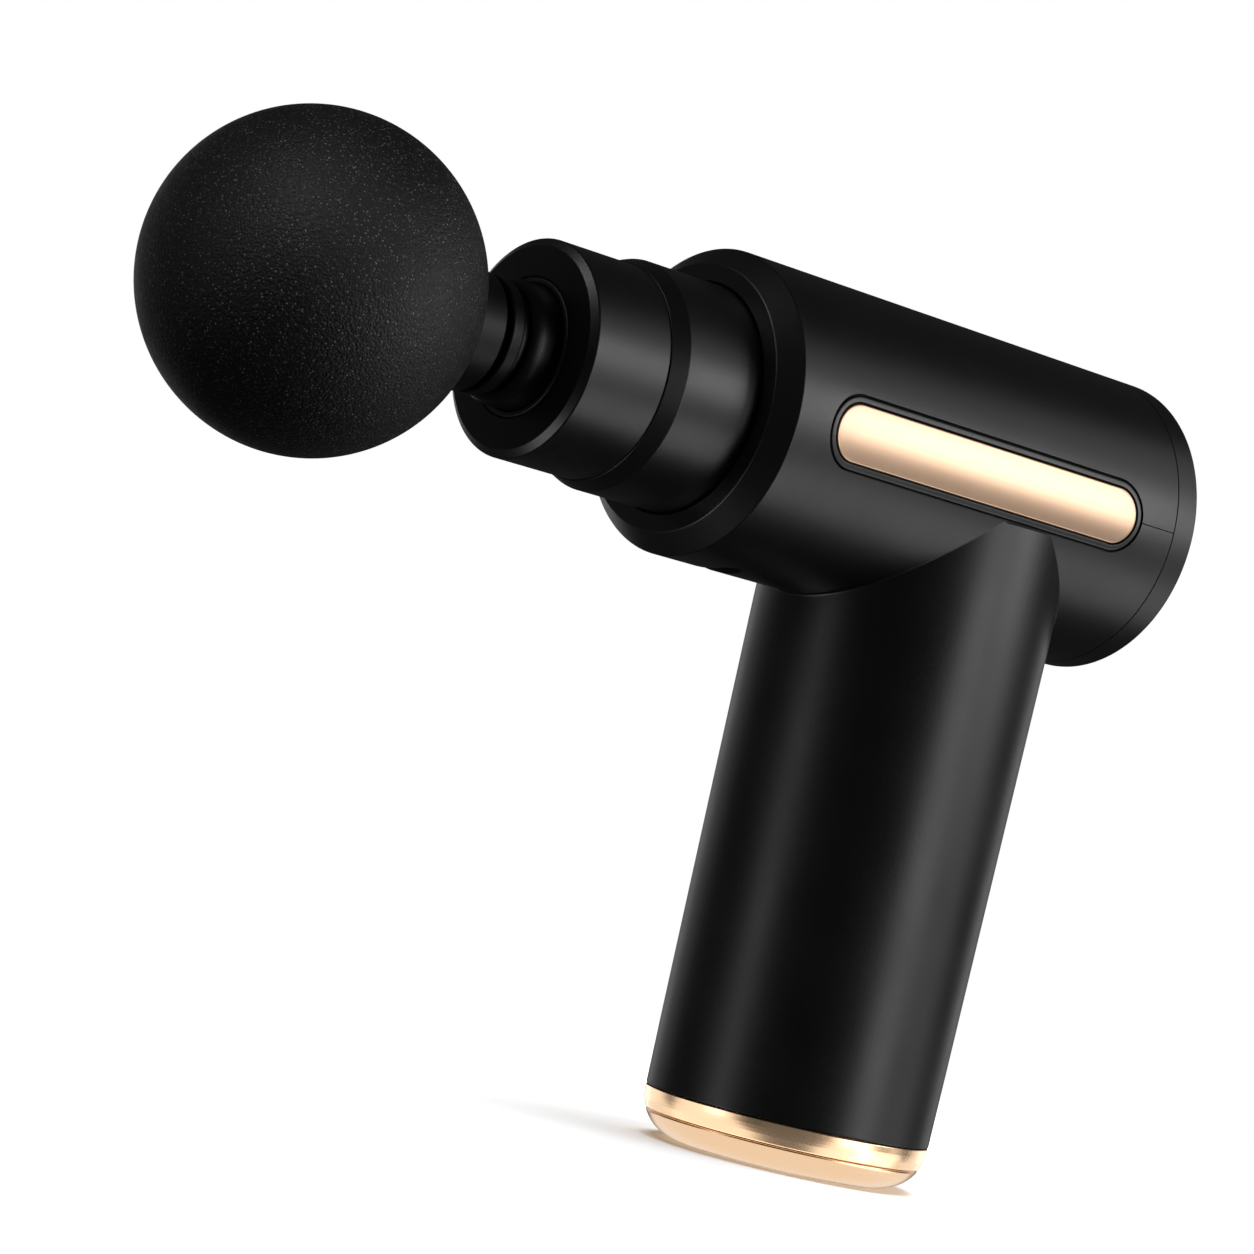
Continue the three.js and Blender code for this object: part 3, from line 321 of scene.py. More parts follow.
SHELL = moulded("satin_shell", (0.0022, 0.0022, 0.0023), (0.0034, 0.0034, 0.0035), (0.34, 0.4))
PANEL = moulded("panel_black", (0.002, 0.002, 0.0021), (0.003, 0.003, 0.0031), (0.3, 0.36))
SURROUND = moulded("surround_black", (0.006, 0.006, 0.0065), (0.009, 0.009, 0.0095), (0.32, 0.38))
GLOSS = moulded(
    "plunger_black", (0.002, 0.002, 0.002), (0.003, 0.003, 0.003), (0.38, 0.44), 2500, 0.003, 0.4
)
STEM = moulded(
    "stem_black", (0.003, 0.003, 0.003), (0.0045, 0.0045, 0.0045), (0.36, 0.44), specular=0.2
)
RUBBER = moulded(
    "soft_rubber", (0.004, 0.004, 0.004), (0.007, 0.007, 0.007), (0.5, 0.62), 2600, 0.02, 0.4
)
FOAM = foam_leather()
GOLD_SATIN = metal(
    "gold_satin", (0.52, 0.35, 0.24), (0.53, 0.36, 0.247), (0.3, 0.34), (0.2, 1, 1), 5200, 0.0006
)
GOLD_POLISHED = metal(
    "gold_polished", (0.88, 0.6, 0.37), (0.89, 0.61, 0.38), (0.24, 0.28), (1, 1, 0.2), 5200, 0.0004
)
STEEL = metal("steel", (0.5, 0.51, 0.53), (0.62, 0.63, 0.65), (0.22, 0.36))
BRONZE = metal("bronze", (0.5, 0.34, 0.13), (0.62, 0.45, 0.2), (0.25, 0.4))
ALLOY = metal("alloy", (0.6, 0.61, 0.62), (0.72, 0.73, 0.74), (0.35, 0.5), depth=0.02)
IRON = metal("iron", (0.07, 0.07, 0.075), (0.12, 0.12, 0.125), (0.4, 0.55), depth=0.02)
CELL = moulded("cell_sleeve", (0.03, 0.2, 0.42), (0.04, 0.25, 0.5), (0.25, 0.35))
CARRIER = moulded("carrier_grey", (0.04, 0.042, 0.045), (0.06, 0.062, 0.066), (0.45, 0.6))
BOARD = board_material()
LAMP = lamp_material("lamp_blue", 3.2)
MARK = lamp_material("mark_blue", 0.25)

SLOT_LOOKS = {
    "shell": SHELL,
    "panel": PANEL,
    "plunger": GLOSS,
    "rubber": RUBBER,
    "foam": FOAM,
    "gold": GOLD_SATIN,
    "steel": STEEL,
    "bronze": BRONZE,
    "alloy": ALLOY,
    "iron": IRON,
    "board": BOARD,
    "cell": CELL,
    "carrier": CARRIER,
    "lamp": LAMP,
}

# Every CAD node gets its slot's procedural finish; the ones replaced below are then hidden.
for part in frame["record"]["subparts"]:
    node = frame["nodes"][part["node"]]
    for holder in node.material_slots:
        holder.material = SLOT_LOOKS[part["material_slot"]]

# ---- turned pieces


def rounded(corners, steps=5):
    """Profile corners (along, radius, rounding) as points with the surface normal at each."""
    closed = corners[0][1] > 0 or corners[-1][1] > 0
    count = len(corners)
    points = []
    for i, (along, radius, size) in enumerate(corners):
        here = np.array([along, radius], float)
        before = np.array(corners[i - 1][:2], float) if (i > 0 or closed) else None
        after = np.array(corners[(i + 1) % count][:2], float) if (i < count - 1 or closed) else None
        if before is None or after is None:
            line = (after - here) if before is None else (here - before)
            line /= np.linalg.norm(line)
            points.append((here, np.array([-line[1], line[0]])))
            continue
        arrive = (here - before) / np.linalg.norm(here - before)
        leave = (after - here) / np.linalg.norm(after - here)
        normal_in = np.array([-arrive[1], arrive[0]])
        normal_out = np.array([-leave[1], leave[0]])
        cosine = float(np.clip(arrive @ leave, -1, 1))
        turn = math.acos(cosine)
        if size <= 0 or turn < 1e-4:
            points.append((here, normal_in))
            if turn > 0.02:
                points.append((here, normal_out))
            continue
        reach = size * math.tan(turn / 2)
        side = math.copysign(1, arrive[0] * leave[1] - arrive[1] * leave[0])
        centre = here - arrive * reach + side * normal_in * size
        for k in range(steps + 1):
            share = k / steps
            normal = normal_in * math.sin((1 - share) * turn) + normal_out * math.sin(share * turn)
            normal /= np.linalg.norm(normal)
            points.append((centre - side * normal * size, normal))
    if closed:
        points.append(points[0])
    return points


def flipped(points):
    """Turns the normals round where the profile runs the other way about its area."""
    ring = np.array([p for p, n in points])
    area = np.sum(ring[:-1, 0] * ring[1:, 1] - ring[1:, 0] * ring[:-1, 1])
    area += ring[-1, 0] * ring[0, 1] - ring[0, 0] * ring[-1, 1]
    sign = 1.0 if area < 0 else -1.0
    return [(p, n * sign) for p, n in points]


def placed(along, across, up, axis, centre=0.0):
    """A turned piece's own directions as X, Y and Z, for the barrel's axis or the handle's."""
    if axis == "x":
        return Vector((along, across, centre + up))
    return Vector((up, across, along))


def flat_finished(work, name):
    """The object that a mesh under construction turns into, with flat faces."""
    mesh = bpy.data.meshes.new(name)
    work.to_mesh(mesh)
    work.free()
    return added(name, mesh)


def added(name, data):
    """A new object in the scene."""
    thing = bpy.data.objects.new(name, data)
    bpy.context.scene.collection.objects.link(thing)
    return thing


def smooth(mesh):
    """Smooth shading on every face."""
    mesh.polygons.foreach_set("use_smooth", [True] * len(mesh.polygons))


def mesh_object(name, vertices, faces, normals=None):
    """A mesh from points in millimetres, with exact normals where they are given."""
    mesh = bpy.data.meshes.new(name)
    mesh.from_pydata([tuple(Vector(v) * MM) for v in vertices], [], faces)
    mesh.validate()
    smooth(mesh)
    if normals is not None:
        mesh.normals_split_custom_set_from_vertices([tuple(n) for n in normals])
    mesh.update()
    return added(name, mesh)


def ring_faces(rings, count):
    """The faces between closed rings of points, each ring of the same count."""
    faces = []
    for j in range(rings - 1):
        for i in range(count):
            a = j * count + i
            b = j * count + (i + 1) % count
            faces.append((a, b, b + count, a + count))
    return faces


def welded(piece):
    """Joins the points that fall together and turns every face outwards."""
    work = bmesh.new()
    work.from_mesh(piece.data)
    bmesh.ops.remove_doubles(work, verts=work.verts, dist=WELD)
    bmesh.ops.recalc_face_normals(work, faces=work.faces)
    work.to_mesh(piece.data)
    work.free()
    return piece


def turned(name, corners, axis="x", facets=ROUND, steps=5):
    """A turned piece with every corner rounded and true normals."""
    profile = flipped(rounded(corners, steps))
    vertices, normals, faces = [], [], []
    for point, normal in profile:
        for k in range(facets):
            angle = 2 * math.pi * k / facets
            c, s = math.cos(angle), math.sin(angle)
            vertices.append(placed(point[0], point[1] * c, point[1] * s, axis, AXIS_Z))
            normals.append(placed(normal[0], normal[1] * c, normal[1] * s, axis).normalized())
    for i in range(len(profile) - 1):
        if np.allclose(profile[i][0], profile[i + 1][0], atol=1e-6):
            continue
        on_axis = (profile[i][0][1] < 1e-6, profile[i + 1][0][1] < 1e-6)
        for k in range(facets):
            a = i * facets + k
            b = i * facets + (k + 1) % facets
            c = (i + 1) * facets + (k + 1) % facets
            d = (i + 1) * facets + k
            if on_axis[0] and on_axis[1]:
                continue
            if on_axis[0]:
                face = (a, c, d)
            elif on_axis[1]:
                face = (a, b, c)
            else:
                face = (a, b, c, d)
            faces.append(face)
    first = faces[len(faces) // 2]
    p = [vertices[i] for i in first[:3]]
    facing = (p[1] - p[0]).cross(p[2] - p[0]).dot(normals[first[0]])
    if facing < 0:
        faces = [tuple(reversed(face)) for face in faces]
    return mesh_object(name, vertices, faces, normals)


def finish_piece(piece, body, material, slot, *nodes):
    """Gives a piece its material and body, and hides the CAD nodes that it stands for."""
    piece.data.materials.clear()
    piece.data.materials.append(material)
    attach(piece, body)
    if nodes:
        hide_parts(*nodes)
    return piece


# ---- cutting

SLIVER = 0.003

def stadium(front, rear, half, arc_steps=24):
    """Points of a slot outline with round ends, anticlockwise, as (along, across)."""
    points = []
    for centre, start in ((rear - half, -90), (front + half, 90)):
        for k in range(arc_steps + 1):
            angle = math.radians(start + 180 * k / arc_steps)
            points.append((centre + half * math.cos(angle), half * math.sin(angle)))
    return points


def circle(radius, across, up, count=32):
    """Points round a circle."""
    turns = [2 * math.pi * k / count for k in range(count)]
    return [(across + radius * math.cos(turn), up + radius * math.sin(turn)) for turn in turns]


def prism(name, outline, axis, near, far):
    """A closed prism along an axis, its outline given in the other two."""
    count = len(outline)
    vertices = []
    for level in (near, far):
        for point in outline:
            spot = list(point)
            spot.insert("xyz".index(axis), level)
            vertices.append(Vector(spot))
    faces = [tuple(range(count)), tuple(range(2 * count - 1, count - 1, -1))]
    faces += [(i, i + count, (i + 1) % count + count, (i + 1) % count) for i in range(count)]
    return welded(mesh_object(name, vertices, faces))


def cut_away(piece, cutters):
    """Cuts the cutters out of a piece and clears the slivers that the cutting leaves."""
    for cutter in cutters:
        change = piece.modifiers.new("cut", "BOOLEAN")
        change.operation = "DIFFERENCE"
        change.solver = "EXACT"
        change.object = cutter
    graph = bpy.context.evaluated_depsgraph_get()
    graph.update()
    made = bpy.data.meshes.new_from_object(piece.evaluated_get(graph))
    piece.modifiers.clear()
    piece.data = made
    work = bmesh.new()
    work.from_mesh(made)
    bmesh.ops.dissolve_degenerate(work, edges=work.edges, dist=SLIVER * MM)
    work.to_mesh(made)
    work.free()
    for cutter in cutters:
        bpy.data.objects.remove(cutter)


def true_normals(piece, surface_normal, limit=0.94):
    """Each corner takes the exact surface normal where its face agrees with it, else stays flat.

    A face that lies square to the barrel's axis is told apart by its points, since slivers left by
    the cutting have no dependable normal of their own.
    """
    mesh = piece.data
    smooth(mesh)
    normals = []
    middle = sum(vertex.co.x for vertex in mesh.vertices) / len(mesh.vertices)
    for polygon in mesh.polygons:
        flat = polygon.normal.copy()
        along = [mesh.vertices[index].co.x for index in polygon.vertices]
        if max(along) - min(along) < 2e-7:
            flat = Vector((1 if along[0] > middle else -1, 0, 0))
        for index in polygon.vertices:
            exact = surface_normal(mesh.vertices[index].co / MM, flat)
            normals.append(exact if exact is not None and exact.dot(flat) > limit else flat.copy())
    mesh.normals_split_custom_set([tuple(n) for n in normals])


# ---- barrel shells and handle

SEAM = 0.03  # half the line between the shells
SEAM_ROUND = 0.07
TIGHT = 0.03  # the share of that line left ahead of the inlays, where the shells close tight


def shell_corners():
    """The barrel's section, a wall with a partly closed front end."""
    return [
        (BARREL_FRONT, COLLAR_R + GAP, 0.1),
        (BARREL_FRONT, BARREL_R - CHAMFER, 0.45),
        (BARREL_FRONT + CHAMFER, BARREL_R, 0.35),
        (BARREL_REAR, BARREL_R, 0.12),
        (BARREL_REAR, BARREL_R - WALL, 0.1),
        (BARREL_FRONT + FRONT_WALL, BARREL_R - WALL, 0.1),
        (BARREL_FRONT + FRONT_WALL, COLLAR_R + GAP, 0.1),
    ]


def with_break(profile, x):
    """Adds points at x wherever the profile crosses it, so that the seam can change there."""
    out = []
    for i, (point, normal) in enumerate(profile):
        out.append((point, normal))
        after, next_normal = profile[(i + 1) % len(profile)]
        level = abs(point[1] - after[1]) < 0.01
        if (point[0] - x) * (after[0] - x) < 0 and level:
            step = 0.02 if after[0] > point[0] else -0.02
            for offset in (-step / 2, step / 2 + step):
                out.append((np.array([x + offset, point[1]]), normal))
    return out


def seam_stations(share):
    """Angles round half a shell, each with the dip that eases its long edges at the seam."""
    eased = []
    for part, dip in ((0.0, 1.0), (0.35, 0.3), (1.0, 0.0)):
        eased.append((share * (SEAM + SEAM_ROUND * part) / BARREL_R, share * SEAM_ROUND * dip))
    first = eased[-1][0]
    plain = [(first + (math.pi - 2 * first) * part, 0.0) for part in np.linspace(0, 1, 97)[1:-1]]
    return eased + plain + [(math.pi - angle, dip) for angle, dip in reversed(eased)]


def half_shell(name, upper):
    """Half of the barrel as a closed solid, its seam tighter ahead of the inlays."""
    profile = with_break(flipped(rounded(shell_corners(), 5))[:-1], INLAY_FRONT)
    usual, tight = seam_stations(1.0), seam_stations(TIGHT)
    sign = 1 if upper else -1
    count = len(profile)
    vertices = []
    for j in range(len(usual)):
        for point, normal in profile:
            angle, dip = usual[j] if point[0] > INLAY_FRONT + 0.01 else tight[j]
            radius = point[1] - (dip if normal[1] > 0.3 else 0.0)
            up = AXIS_Z + sign * radius * math.sin(angle)
            vertices.append(Vector((point[0], radius * math.cos(angle), up)))
    faces = ring_faces(len(usual), count)
    faces.append(tuple(range(count)))
    faces.append(tuple(reversed(range((len(usual) - 1) * count, len(usual) * count))))
    return welded(mesh_object(name, vertices, faces))


def pocket_cutters():
    """Cuts the pockets for the two inlays."""
    reach = POCKET_HALF - INLAY_HALF
    slot = stadium(INLAY_FRONT - reach, INLAY_REAR + reach, POCKET_HALF)
    outline = [(x, AXIS_Z + up) for x, up in slot]
    return [prism("pocket", outline, "y", side * POCKET_FLOOR, side * 30) for side in (-1, 1)]


def vent_cutter():
    """Cuts the vent slot under the barrel."""
    outline = [(VENT_X + b, a) for a, b in stadium(-VENT_REACH, VENT_REACH, VENT_HALF, 12)]
    underside = AXIS_Z - BARREL_R
    return prism("vent", outline, "z", underside - 2, underside + WALL + 0.8)


def barrel_normal(co, flat):
    """The exact normal of a piece turned about the barrel's axis."""
    radial = Vector((0, co.y, co.z - AXIS_Z))
    radius = radial.length
    if radius < 1e-6:
        return None
    radial /= radius
    if flat.dot(radial) < 0:
        return -radial
    along = flat.x
    across = math.sqrt(max(0.0, 1 - along * along))
    return Vector((along, radial.y * across, radial.z * across))


def handle_top(c, s, ceiling, fillet, arc_steps):
    """The first points of a column of the handle's skin, from its top edge, and where it ends.

    Where the handle meets the barrel the edge follows the barrel through a small fillet. Beside it,
    the edge ends in a rounded ledge below the inlays.
    """
    column = []
    outward = Vector((c, s, 0))
    wide = HANDLE_TOP_R + fillet
    barrel = BARREL_R + fillet
    y = wide * s
    z = AXIS_Z - math.sqrt(barrel * barrel - y * y) if abs(y) < barrel else ceiling
    if z < ceiling:
        centre = Vector((wide * c, y, z))
        upward = Vector((0, -y, AXIS_Z - z)).normalized()
        for i in range(arc_steps + 1):
            towards = upward.lerp(-outward, i / arc_steps).normalized()
            column.append((centre + towards * fillet, -towards))
        return column, z
    ledge = 0.4
    centre = outward * (HANDLE_TOP_R - ledge) + Vector((0, 0, ceiling - ledge))
    for i in range(arc_steps + 1):
        turn = math.pi / 2 * i / arc_steps
        normal = outward * math.sin(turn) + Vector((0, 0, math.cos(turn)))
        column.append((centre + normal * ledge, normal))
    return column, ceiling - ledge


def handle_side(c, s, top):
    """The rest of a column of the handle's skin: the tapering side and the rounded lower edge."""
    column = []
    outward = Vector((c, s, 0))
    slope = (HANDLE_TOP_R - HANDLE_BASE_R) / (HANDLE_STRAIGHT_Z - HANDLE_BASE_Z)
    edge = 0.25
    lower = HANDLE_BASE_Z + edge
    steps = 26
    for i in range(1, steps + 1):
        z = top + (lower - top) * (i / steps)
        tilt = slope if z < HANDLE_STRAIGHT_Z else 0.0
        normal = (outward + Vector((0, 0, -tilt))).normalized()
        column.append((outward * handle_radius(z) + Vector((0, 0, z)), normal))
    for i in range(1, 5):
        turn = math.pi / 2 * i / 4
        radius = HANDLE_BASE_R - edge + edge * math.cos(turn)
        z = lower - edge * math.sin(turn)
        normal = outward * math.cos(turn) - Vector((0, 0, math.sin(turn)))
        column.append((outward * radius + Vector((0, 0, z)), normal))
    inner = outward * (HANDLE_BASE_R - WALL) + Vector((0, 0, HANDLE_BASE_Z))
    column.append((inner, Vector((0, 0, -1))))
    return column


def handle_tube():
    """The handle's skin, as columns from its top edge down to its lower edge."""
    facets = 256
    vertices, normals, faces = [], [], []
    for k in range(facets):
        angle = 2 * math.pi * k / facets
        c, s = math.cos(angle), math.sin(angle)
        column, top = handle_top(c, s, AXIS_Z - POCKET_HALF, 0.45, 5)
        column += handle_side(c, s, top)
        rows = len(column)
        vertices += [point for point, normal in column]
        normals += [normal for point, normal in column]
    for k in range(facets):
        for i in range(rows - 1):
            a = k * rows + i
            b = ((k + 1) % facets) * rows + i
            faces.append((a, a + 1, b + 1, b))
    return mesh_object("handle_skin", vertices, faces, normals)


def joined(name, things):
    """Several meshes as one piece."""
    with bpy.context.temp_override(
        active_object=things[0], selected_editable_objects=things, selected_objects=things
    ):
        bpy.ops.object.join()
    things[0].name = name
    return things[0]


def build_shells():
    """The barrel's two shells, the lower one with the handle's skin."""
    lower = half_shell("shell_lower", False)
    cut_away(lower, pocket_cutters() + [vent_cutter()])
    true_normals(lower, barrel_normal)
    lower = joined("shell_lower", [lower, handle_tube()])
    finish_piece(lower, "housing", SHELL, "shell", "housing_lower")
    upper = half_shell("shell_upper", True)
    cut_away(upper, pocket_cutters())
    true_normals(upper, barrel_normal)
    finish_piece(upper, "housing", SHELL, "shell", "housing_upper")


# ---- inlays


def draped(name, side, rings, close_middle):
    """Stadium rings (inset from the inlay's half height, radius) laid on the barrel's side."""
    vertices = []
    steps = 32
    for half, radius in rings:
        grow = half - INLAY_HALF
        for along, across in stadium(INLAY_FRONT - grow, INLAY_REAR + grow, half, steps):
            out = math.sqrt(radius * radius - across * across)
            vertices.append(Vector((along, side * out, AXIS_Z + across)))
    count = 2 * (steps + 1)
    faces = ring_faces(len(rings), count)
    if close_middle:
        last = (len(rings) - 1) * count
        faces.append(tuple(range(last, last + count)))
    piece = welded(mesh_object(name, vertices, faces))
    outermost = max(piece.data.polygons, key=lambda face: abs(face.center.y))
    if outermost.normal.y * side < 0:
        piece.data.flip_normals()
    even = piece.modifiers.new("even", "WEIGHTED_NORMAL")
    even.keep_sharp = True
    return piece


def edge_rings(half, top, drop, size, steps=5):
    """Rings that go up a side wall and round the top edge of a draped piece, going inwards."""
    rings = [(half, top - drop), (half, top - size)]
    for k in range(1, steps + 1):
        turn = math.pi / 2 * k / steps
        rings.append((half - size * (1 - math.cos(turn)), top - size * (1 - math.sin(turn))))
    return rings


def surround_rings():
    """The black surround's section: outer edge, flat top and the well's edge."""
    edge = 0.32
    lip = 0.14
    outer = edge_rings(SURROUND_HALF - 0.1, BARREL_R, 1.3, edge)
    well = INLAY_HALF + 0.22
    start = SURROUND_HALF - 0.1 - edge
    across = [(start - (start - well - lip) * k / 4, BARREL_R) for k in range(1, 5)]
    inner = [(2 * well - half, r) for half, r in reversed(edge_rings(well, BARREL_R, 0.85, lip))]
    return outer + across + inner


def strip_rings():
    """The gold strip's section: rounded edge and a slightly crowned top."""
    edge = 0.28
    crown = 0.06
    shoulder = BARREL_R - 0.02
    rings = edge_rings(INLAY_HALF, shoulder, 0.7, edge)
    for k in range(1, 13):
        share = k / 12
        half = max((INLAY_HALF - edge) * (1 - share), 0.02)
        rings.append((half, shoulder + crown * math.sin(share * math.pi / 2)))
    return rings


def build_inlays():
    """The gold strip in its black surround, on both sides of the barrel."""
    for side, word in ((-1, "left"), (1, "right")):
        surround = draped(f"inlay_frame_{word}", side, surround_rings(), False)
        finish_piece(surround, "housing", SURROUND, "panel", f"inlay_surround_{word}")
        strip = draped(f"inlay_gold_{word}", side, strip_rings(), True)
        finish_piece(strip, "housing", GOLD_SATIN, "gold", f"inlay_strip_{word}")


# ---- front end


def build_collar():
    """The collar that the nose plugs into."""
    section = [
        (COLLAR_REAR, COLLAR_BORE_R, 0.1),
        (COLLAR_REAR, COLLAR_FLANGE_R, 0.1),
        (COLLAR_FLANGE_FRONT, COLLAR_FLANGE_R, 0.1),
        (COLLAR_FLANGE_FRONT, COLLAR_R, 0.05),
        (COLLAR_FRONT + COLLAR_BEVEL, COLLAR_R, 0.6),
        (COLLAR_FRONT, NOSE_R + 0.2, 0.12),
        (COLLAR_FRONT, COLLAR_BORE_R, 0.05),
    ]
    finish_piece(turned("collar", section), "housing", SHELL, "shell", "front_collar")


def build_nose():
    """The nose sleeve, its front edge bevelled and its spigot inside the collar."""
    bevel = 1.2
    drop = 0.8
    lip = 1.3
    shoulder = COLLAR_FRONT - 0.05
    section = [
        (NOSE_FRONT, NOSE_HOLE_R, 0.35),
        (NOSE_FRONT, NOSE_R - bevel, 0.4),
        (NOSE_FRONT + drop, NOSE_R, 0.4),
        (shoulder, NOSE_R, 0.05),
        (shoulder, NOSE_SPIGOT_R, 0.05),
        (NOSE_REAR, NOSE_SPIGOT_R, 0.1),
        (NOSE_REAR, NOSE_BORE_R, 0.1),
        (NOSE_FRONT + lip, NOSE_BORE_R, 0.05),
        (NOSE_FRONT + lip, NOSE_HOLE_R, 0.2),
    ]
    finish_piece(turned("nose", section), "housing", SHELL, "shell", "nose_sleeve")


def build_seal():
    """The dust seal in the nose's hole."""
    front = NOSE_FRONT - 0.05
    step = NOSE_FRONT + 1.6
    rear = NOSE_FRONT + 3.2
    bore = PLUNGER_R + 0.06
    section = [
        (front, bore, 0.3),
        (front, NOSE_HOLE_R - 0.04, 0.25),
        (step, NOSE_HOLE_R - 0.04, 0.1),
        (step, SEAL_R, 0.1),
        (rear, SEAL_R, 0.1),
        (rear, bore, 0.25),
    ]
    finish_piece(turned("wiper_seal", section), "housing", RUBBER, "rubber", "dust_seal")


def plunger_section():
    """The plunger's neck and body, with a long rounded front rim between them."""
    rim = 1.2
    rim_reach = 2.4
    section = [
        (SOCKET_END, 0, 0),
        (SOCKET_END, SOCKET_R, 0.2),
        (NECK_FRONT, SOCKET_R, 0.25),
        (NECK_FRONT, NECK_R, 0.2),
        (PLUNGER_SHOULDER, NECK_R, 0.2),
        (PLUNGER_SHOULDER, PLUNGER_R - rim, 0.12),
    ]
    for k in range(1, 9):
        turn = math.pi / 2 * k / 8
        along = PLUNGER_SHOULDER + rim_reach * (1 - math.cos(turn))
        section.append((along, PLUNGER_R - rim * (1 - math.sin(turn)), 0.5))
    return section + [(PLUNGER_REAR, PLUNGER_R, 0.3), (PLUNGER_REAR, 0, 0)]


def build_plunger():
    """The plunger, cut for the connecting rod and its wrist pin, and its grip ring."""
    piece = welded(turned("plunger_body", plunger_section(), facets=MIDDLING, steps=8))
    beyond = PLUNGER_R + 1.5
    slot_end = WRIST_X - ROD_SLOT_REACH
    slot = [
        (slot_end, -beyond),
        (PLUNGER_REAR + 1, -beyond),
        (PLUNGER_REAR + 1, beyond),
        (slot_end, beyond),
    ]
    hole = circle(WRIST_HOLE_R, WRIST_X, 0)
    cutters = [
        prism("slot", slot, "z", AXIS_Z - ROD_SLOT_HALF, AXIS_Z + ROD_SLOT_HALF),
        prism("pin_hole", hole, "z", AXIS_Z - beyond, AXIS_Z + beyond),
    ]
    cut_away(piece, cutters)
    true_normals(piece, barrel_normal)
    finish_piece(piece, "plunger", GLOSS, "plunger", "plunger")
    front = NECK_FRONT + 0.2
    rear = PLUNGER_SHOULDER - 1.4
    grip = [
        (front, NECK_R + 0.1, 0.1),
        (front, GRIP_R, 0.45),
        (rear, GRIP_R, 0.45),
        (rear, NECK_R + 0.1, 0.1),
    ]
    finish_piece(turned("grip_band", grip, facets=MIDDLING), "plunger", STEM, "rubber", "grip_ring")


def build_stem():
    """The head's stem, with a plug grooved for its two rubber rings."""
    front = low("head_stem", "x")
    section = [(front, 0, 0), (front, STEM_R, 0.4), (STEM_END, STEM_R, 0.5), (STEM_END, PLUG_R, 0.2)]
    for x in PLUG_RING_SPOTS:
        section += [
            (x - PLUG_GROOVE_HALF, PLUG_R, 0.15),
            (x - PLUG_GROOVE_HALF, PLUG_GROOVE_R, 0.2),
            (x + PLUG_GROOVE_HALF, PLUG_GROOVE_R, 0.2),
            (x + PLUG_GROOVE_HALF, PLUG_R, 0.15),
        ]
    section += [(PLUG_END, PLUG_R, 0.9), (PLUG_END, 0, 0)]
    finish_piece(turned("stem", section, facets=MIDDLING), "head", STEM, "shell", "head_stem")


def build_plug_rings():
    """The two rubber rings on the plug."""
    half = 0.9
    inner = 6.0
    for x, word in zip(PLUG_RING_SPOTS, ("front", "rear")):
        section = [
            (x - half, inner, 0.2),
            (x - half, PLUG_R + 0.05, 0.5),
            (x + half, PLUG_R + 0.05, 0.5),
            (x + half, inner, 0.2),
        ]
        piece = turned(f"plug_band_{word}", section, facets=FINE)
        finish_piece(piece, "head", RUBBER, "rubber", f"plug_ring_{word}")


def even_sphere(x, y, z):
    """A direction spread evenly over a sphere, for a point of a cube of half size 1."""
    return Vector(
        (
            x * math.sqrt(max(0.0, 1 - y * y / 2 - z * z / 2 + y * y * z * z / 3)),
            y * math.sqrt(max(0.0, 1 - z * z / 2 - x * x / 2 + z * z * x * x / 3)),
            z * math.sqrt(max(0.0, 1 - x * x / 2 - y * y / 2 + x * x * y * y / 3)),
        )
    ).normalized()


def build_ball():
    """The foam ball: an even quad sphere with a rolled lip where the stem goes in."""
    roll_reach = 1.6
    roll_depth = 0.9
    lip_x = math.sqrt(BALL_R * BALL_R - STEM_R * STEM_R)
    work = bmesh.new()
    bmesh.ops.create_cube(work, size=1.0)
    bmesh.ops.subdivide_edges(work, edges=work.edges[:], cuts=63, use_grid_fill=True)
    for vertex in work.verts:
        point = even_sphere(*(vertex.co * 2)) * BALL_R
        away = math.hypot(point.y, point.z)
        if point.x > 0:
            roll = max(0.0, 1 - max(away - STEM_R, 0.0) / roll_reach)
            point.x -= roll_depth * roll * roll
            if away < STEM_R:
                point.x = min(point.x, lip_x - roll_depth - (STEM_R - away) * 0.8)
        vertex.co = (point + Vector((BALL_X, 0, AXIS_Z))) * MM
    ball = flat_finished(work, "foam_ball")
    smooth(ball.data)
    finish_piece(ball, "head", FOAM, "foam", "head_ball")


# ---- rear end


def panel_material():
    """The panel's plastic, with the lamps' light spilling softly round each of them."""
    material = PANEL.copy()
    material.name = "panel_lit"
    tree = material.node_tree
    shader = tree.nodes["Principled BSDF"]
    place = add(tree, "ShaderNodeTexCoord")
    total = None
    for y, z in led_spots():
        reach = add(tree, "ShaderNodeVectorMath", operation="DISTANCE")
        reach.inputs[1].default_value = (PANEL_FACE * MM, y * MM, z * MM)
        tree.links.new(place.outputs["Object"], reach.inputs[0])
        glow = spread(tree, reach.outputs["Value"], 1.0, 0.0, 0.6 * MM, 2.3 * MM, "SMOOTHERSTEP")
        total = glow if total is None else combined(tree, "ADD", total, glow)
    tint = two_tone(tree, total, (0, 0, 0), (0.0, 0.02, 0.75))
    tree.links.new(tint, shader.inputs["Emission Color"])
    shader.inputs["Emission Strength"].default_value = 1.0
    return material


def led_spots():
    """The middles of the six lamps, as Y and Z."""
    spots = []
    for degrees in LED_ANGLES:
        angle = math.radians(degrees)
        spots.append((LED_CIRCLE_R * math.sin(angle), AXIS_Z + LED_CIRCLE_R * math.cos(angle)))
    return spots


def through_panel(outline):
    """Cuts a hole right through the rear panel."""
    return prism("hole", outline, "x", PANEL_FRONT - 1, REAR_END + 1)


def rear_stadium(half_width, half_height, z):
    """A slot outline on the rear, as Y and Z."""
    return [(a, z + b) for a, b in stadium(-half_width, half_width, half_height, 12)]


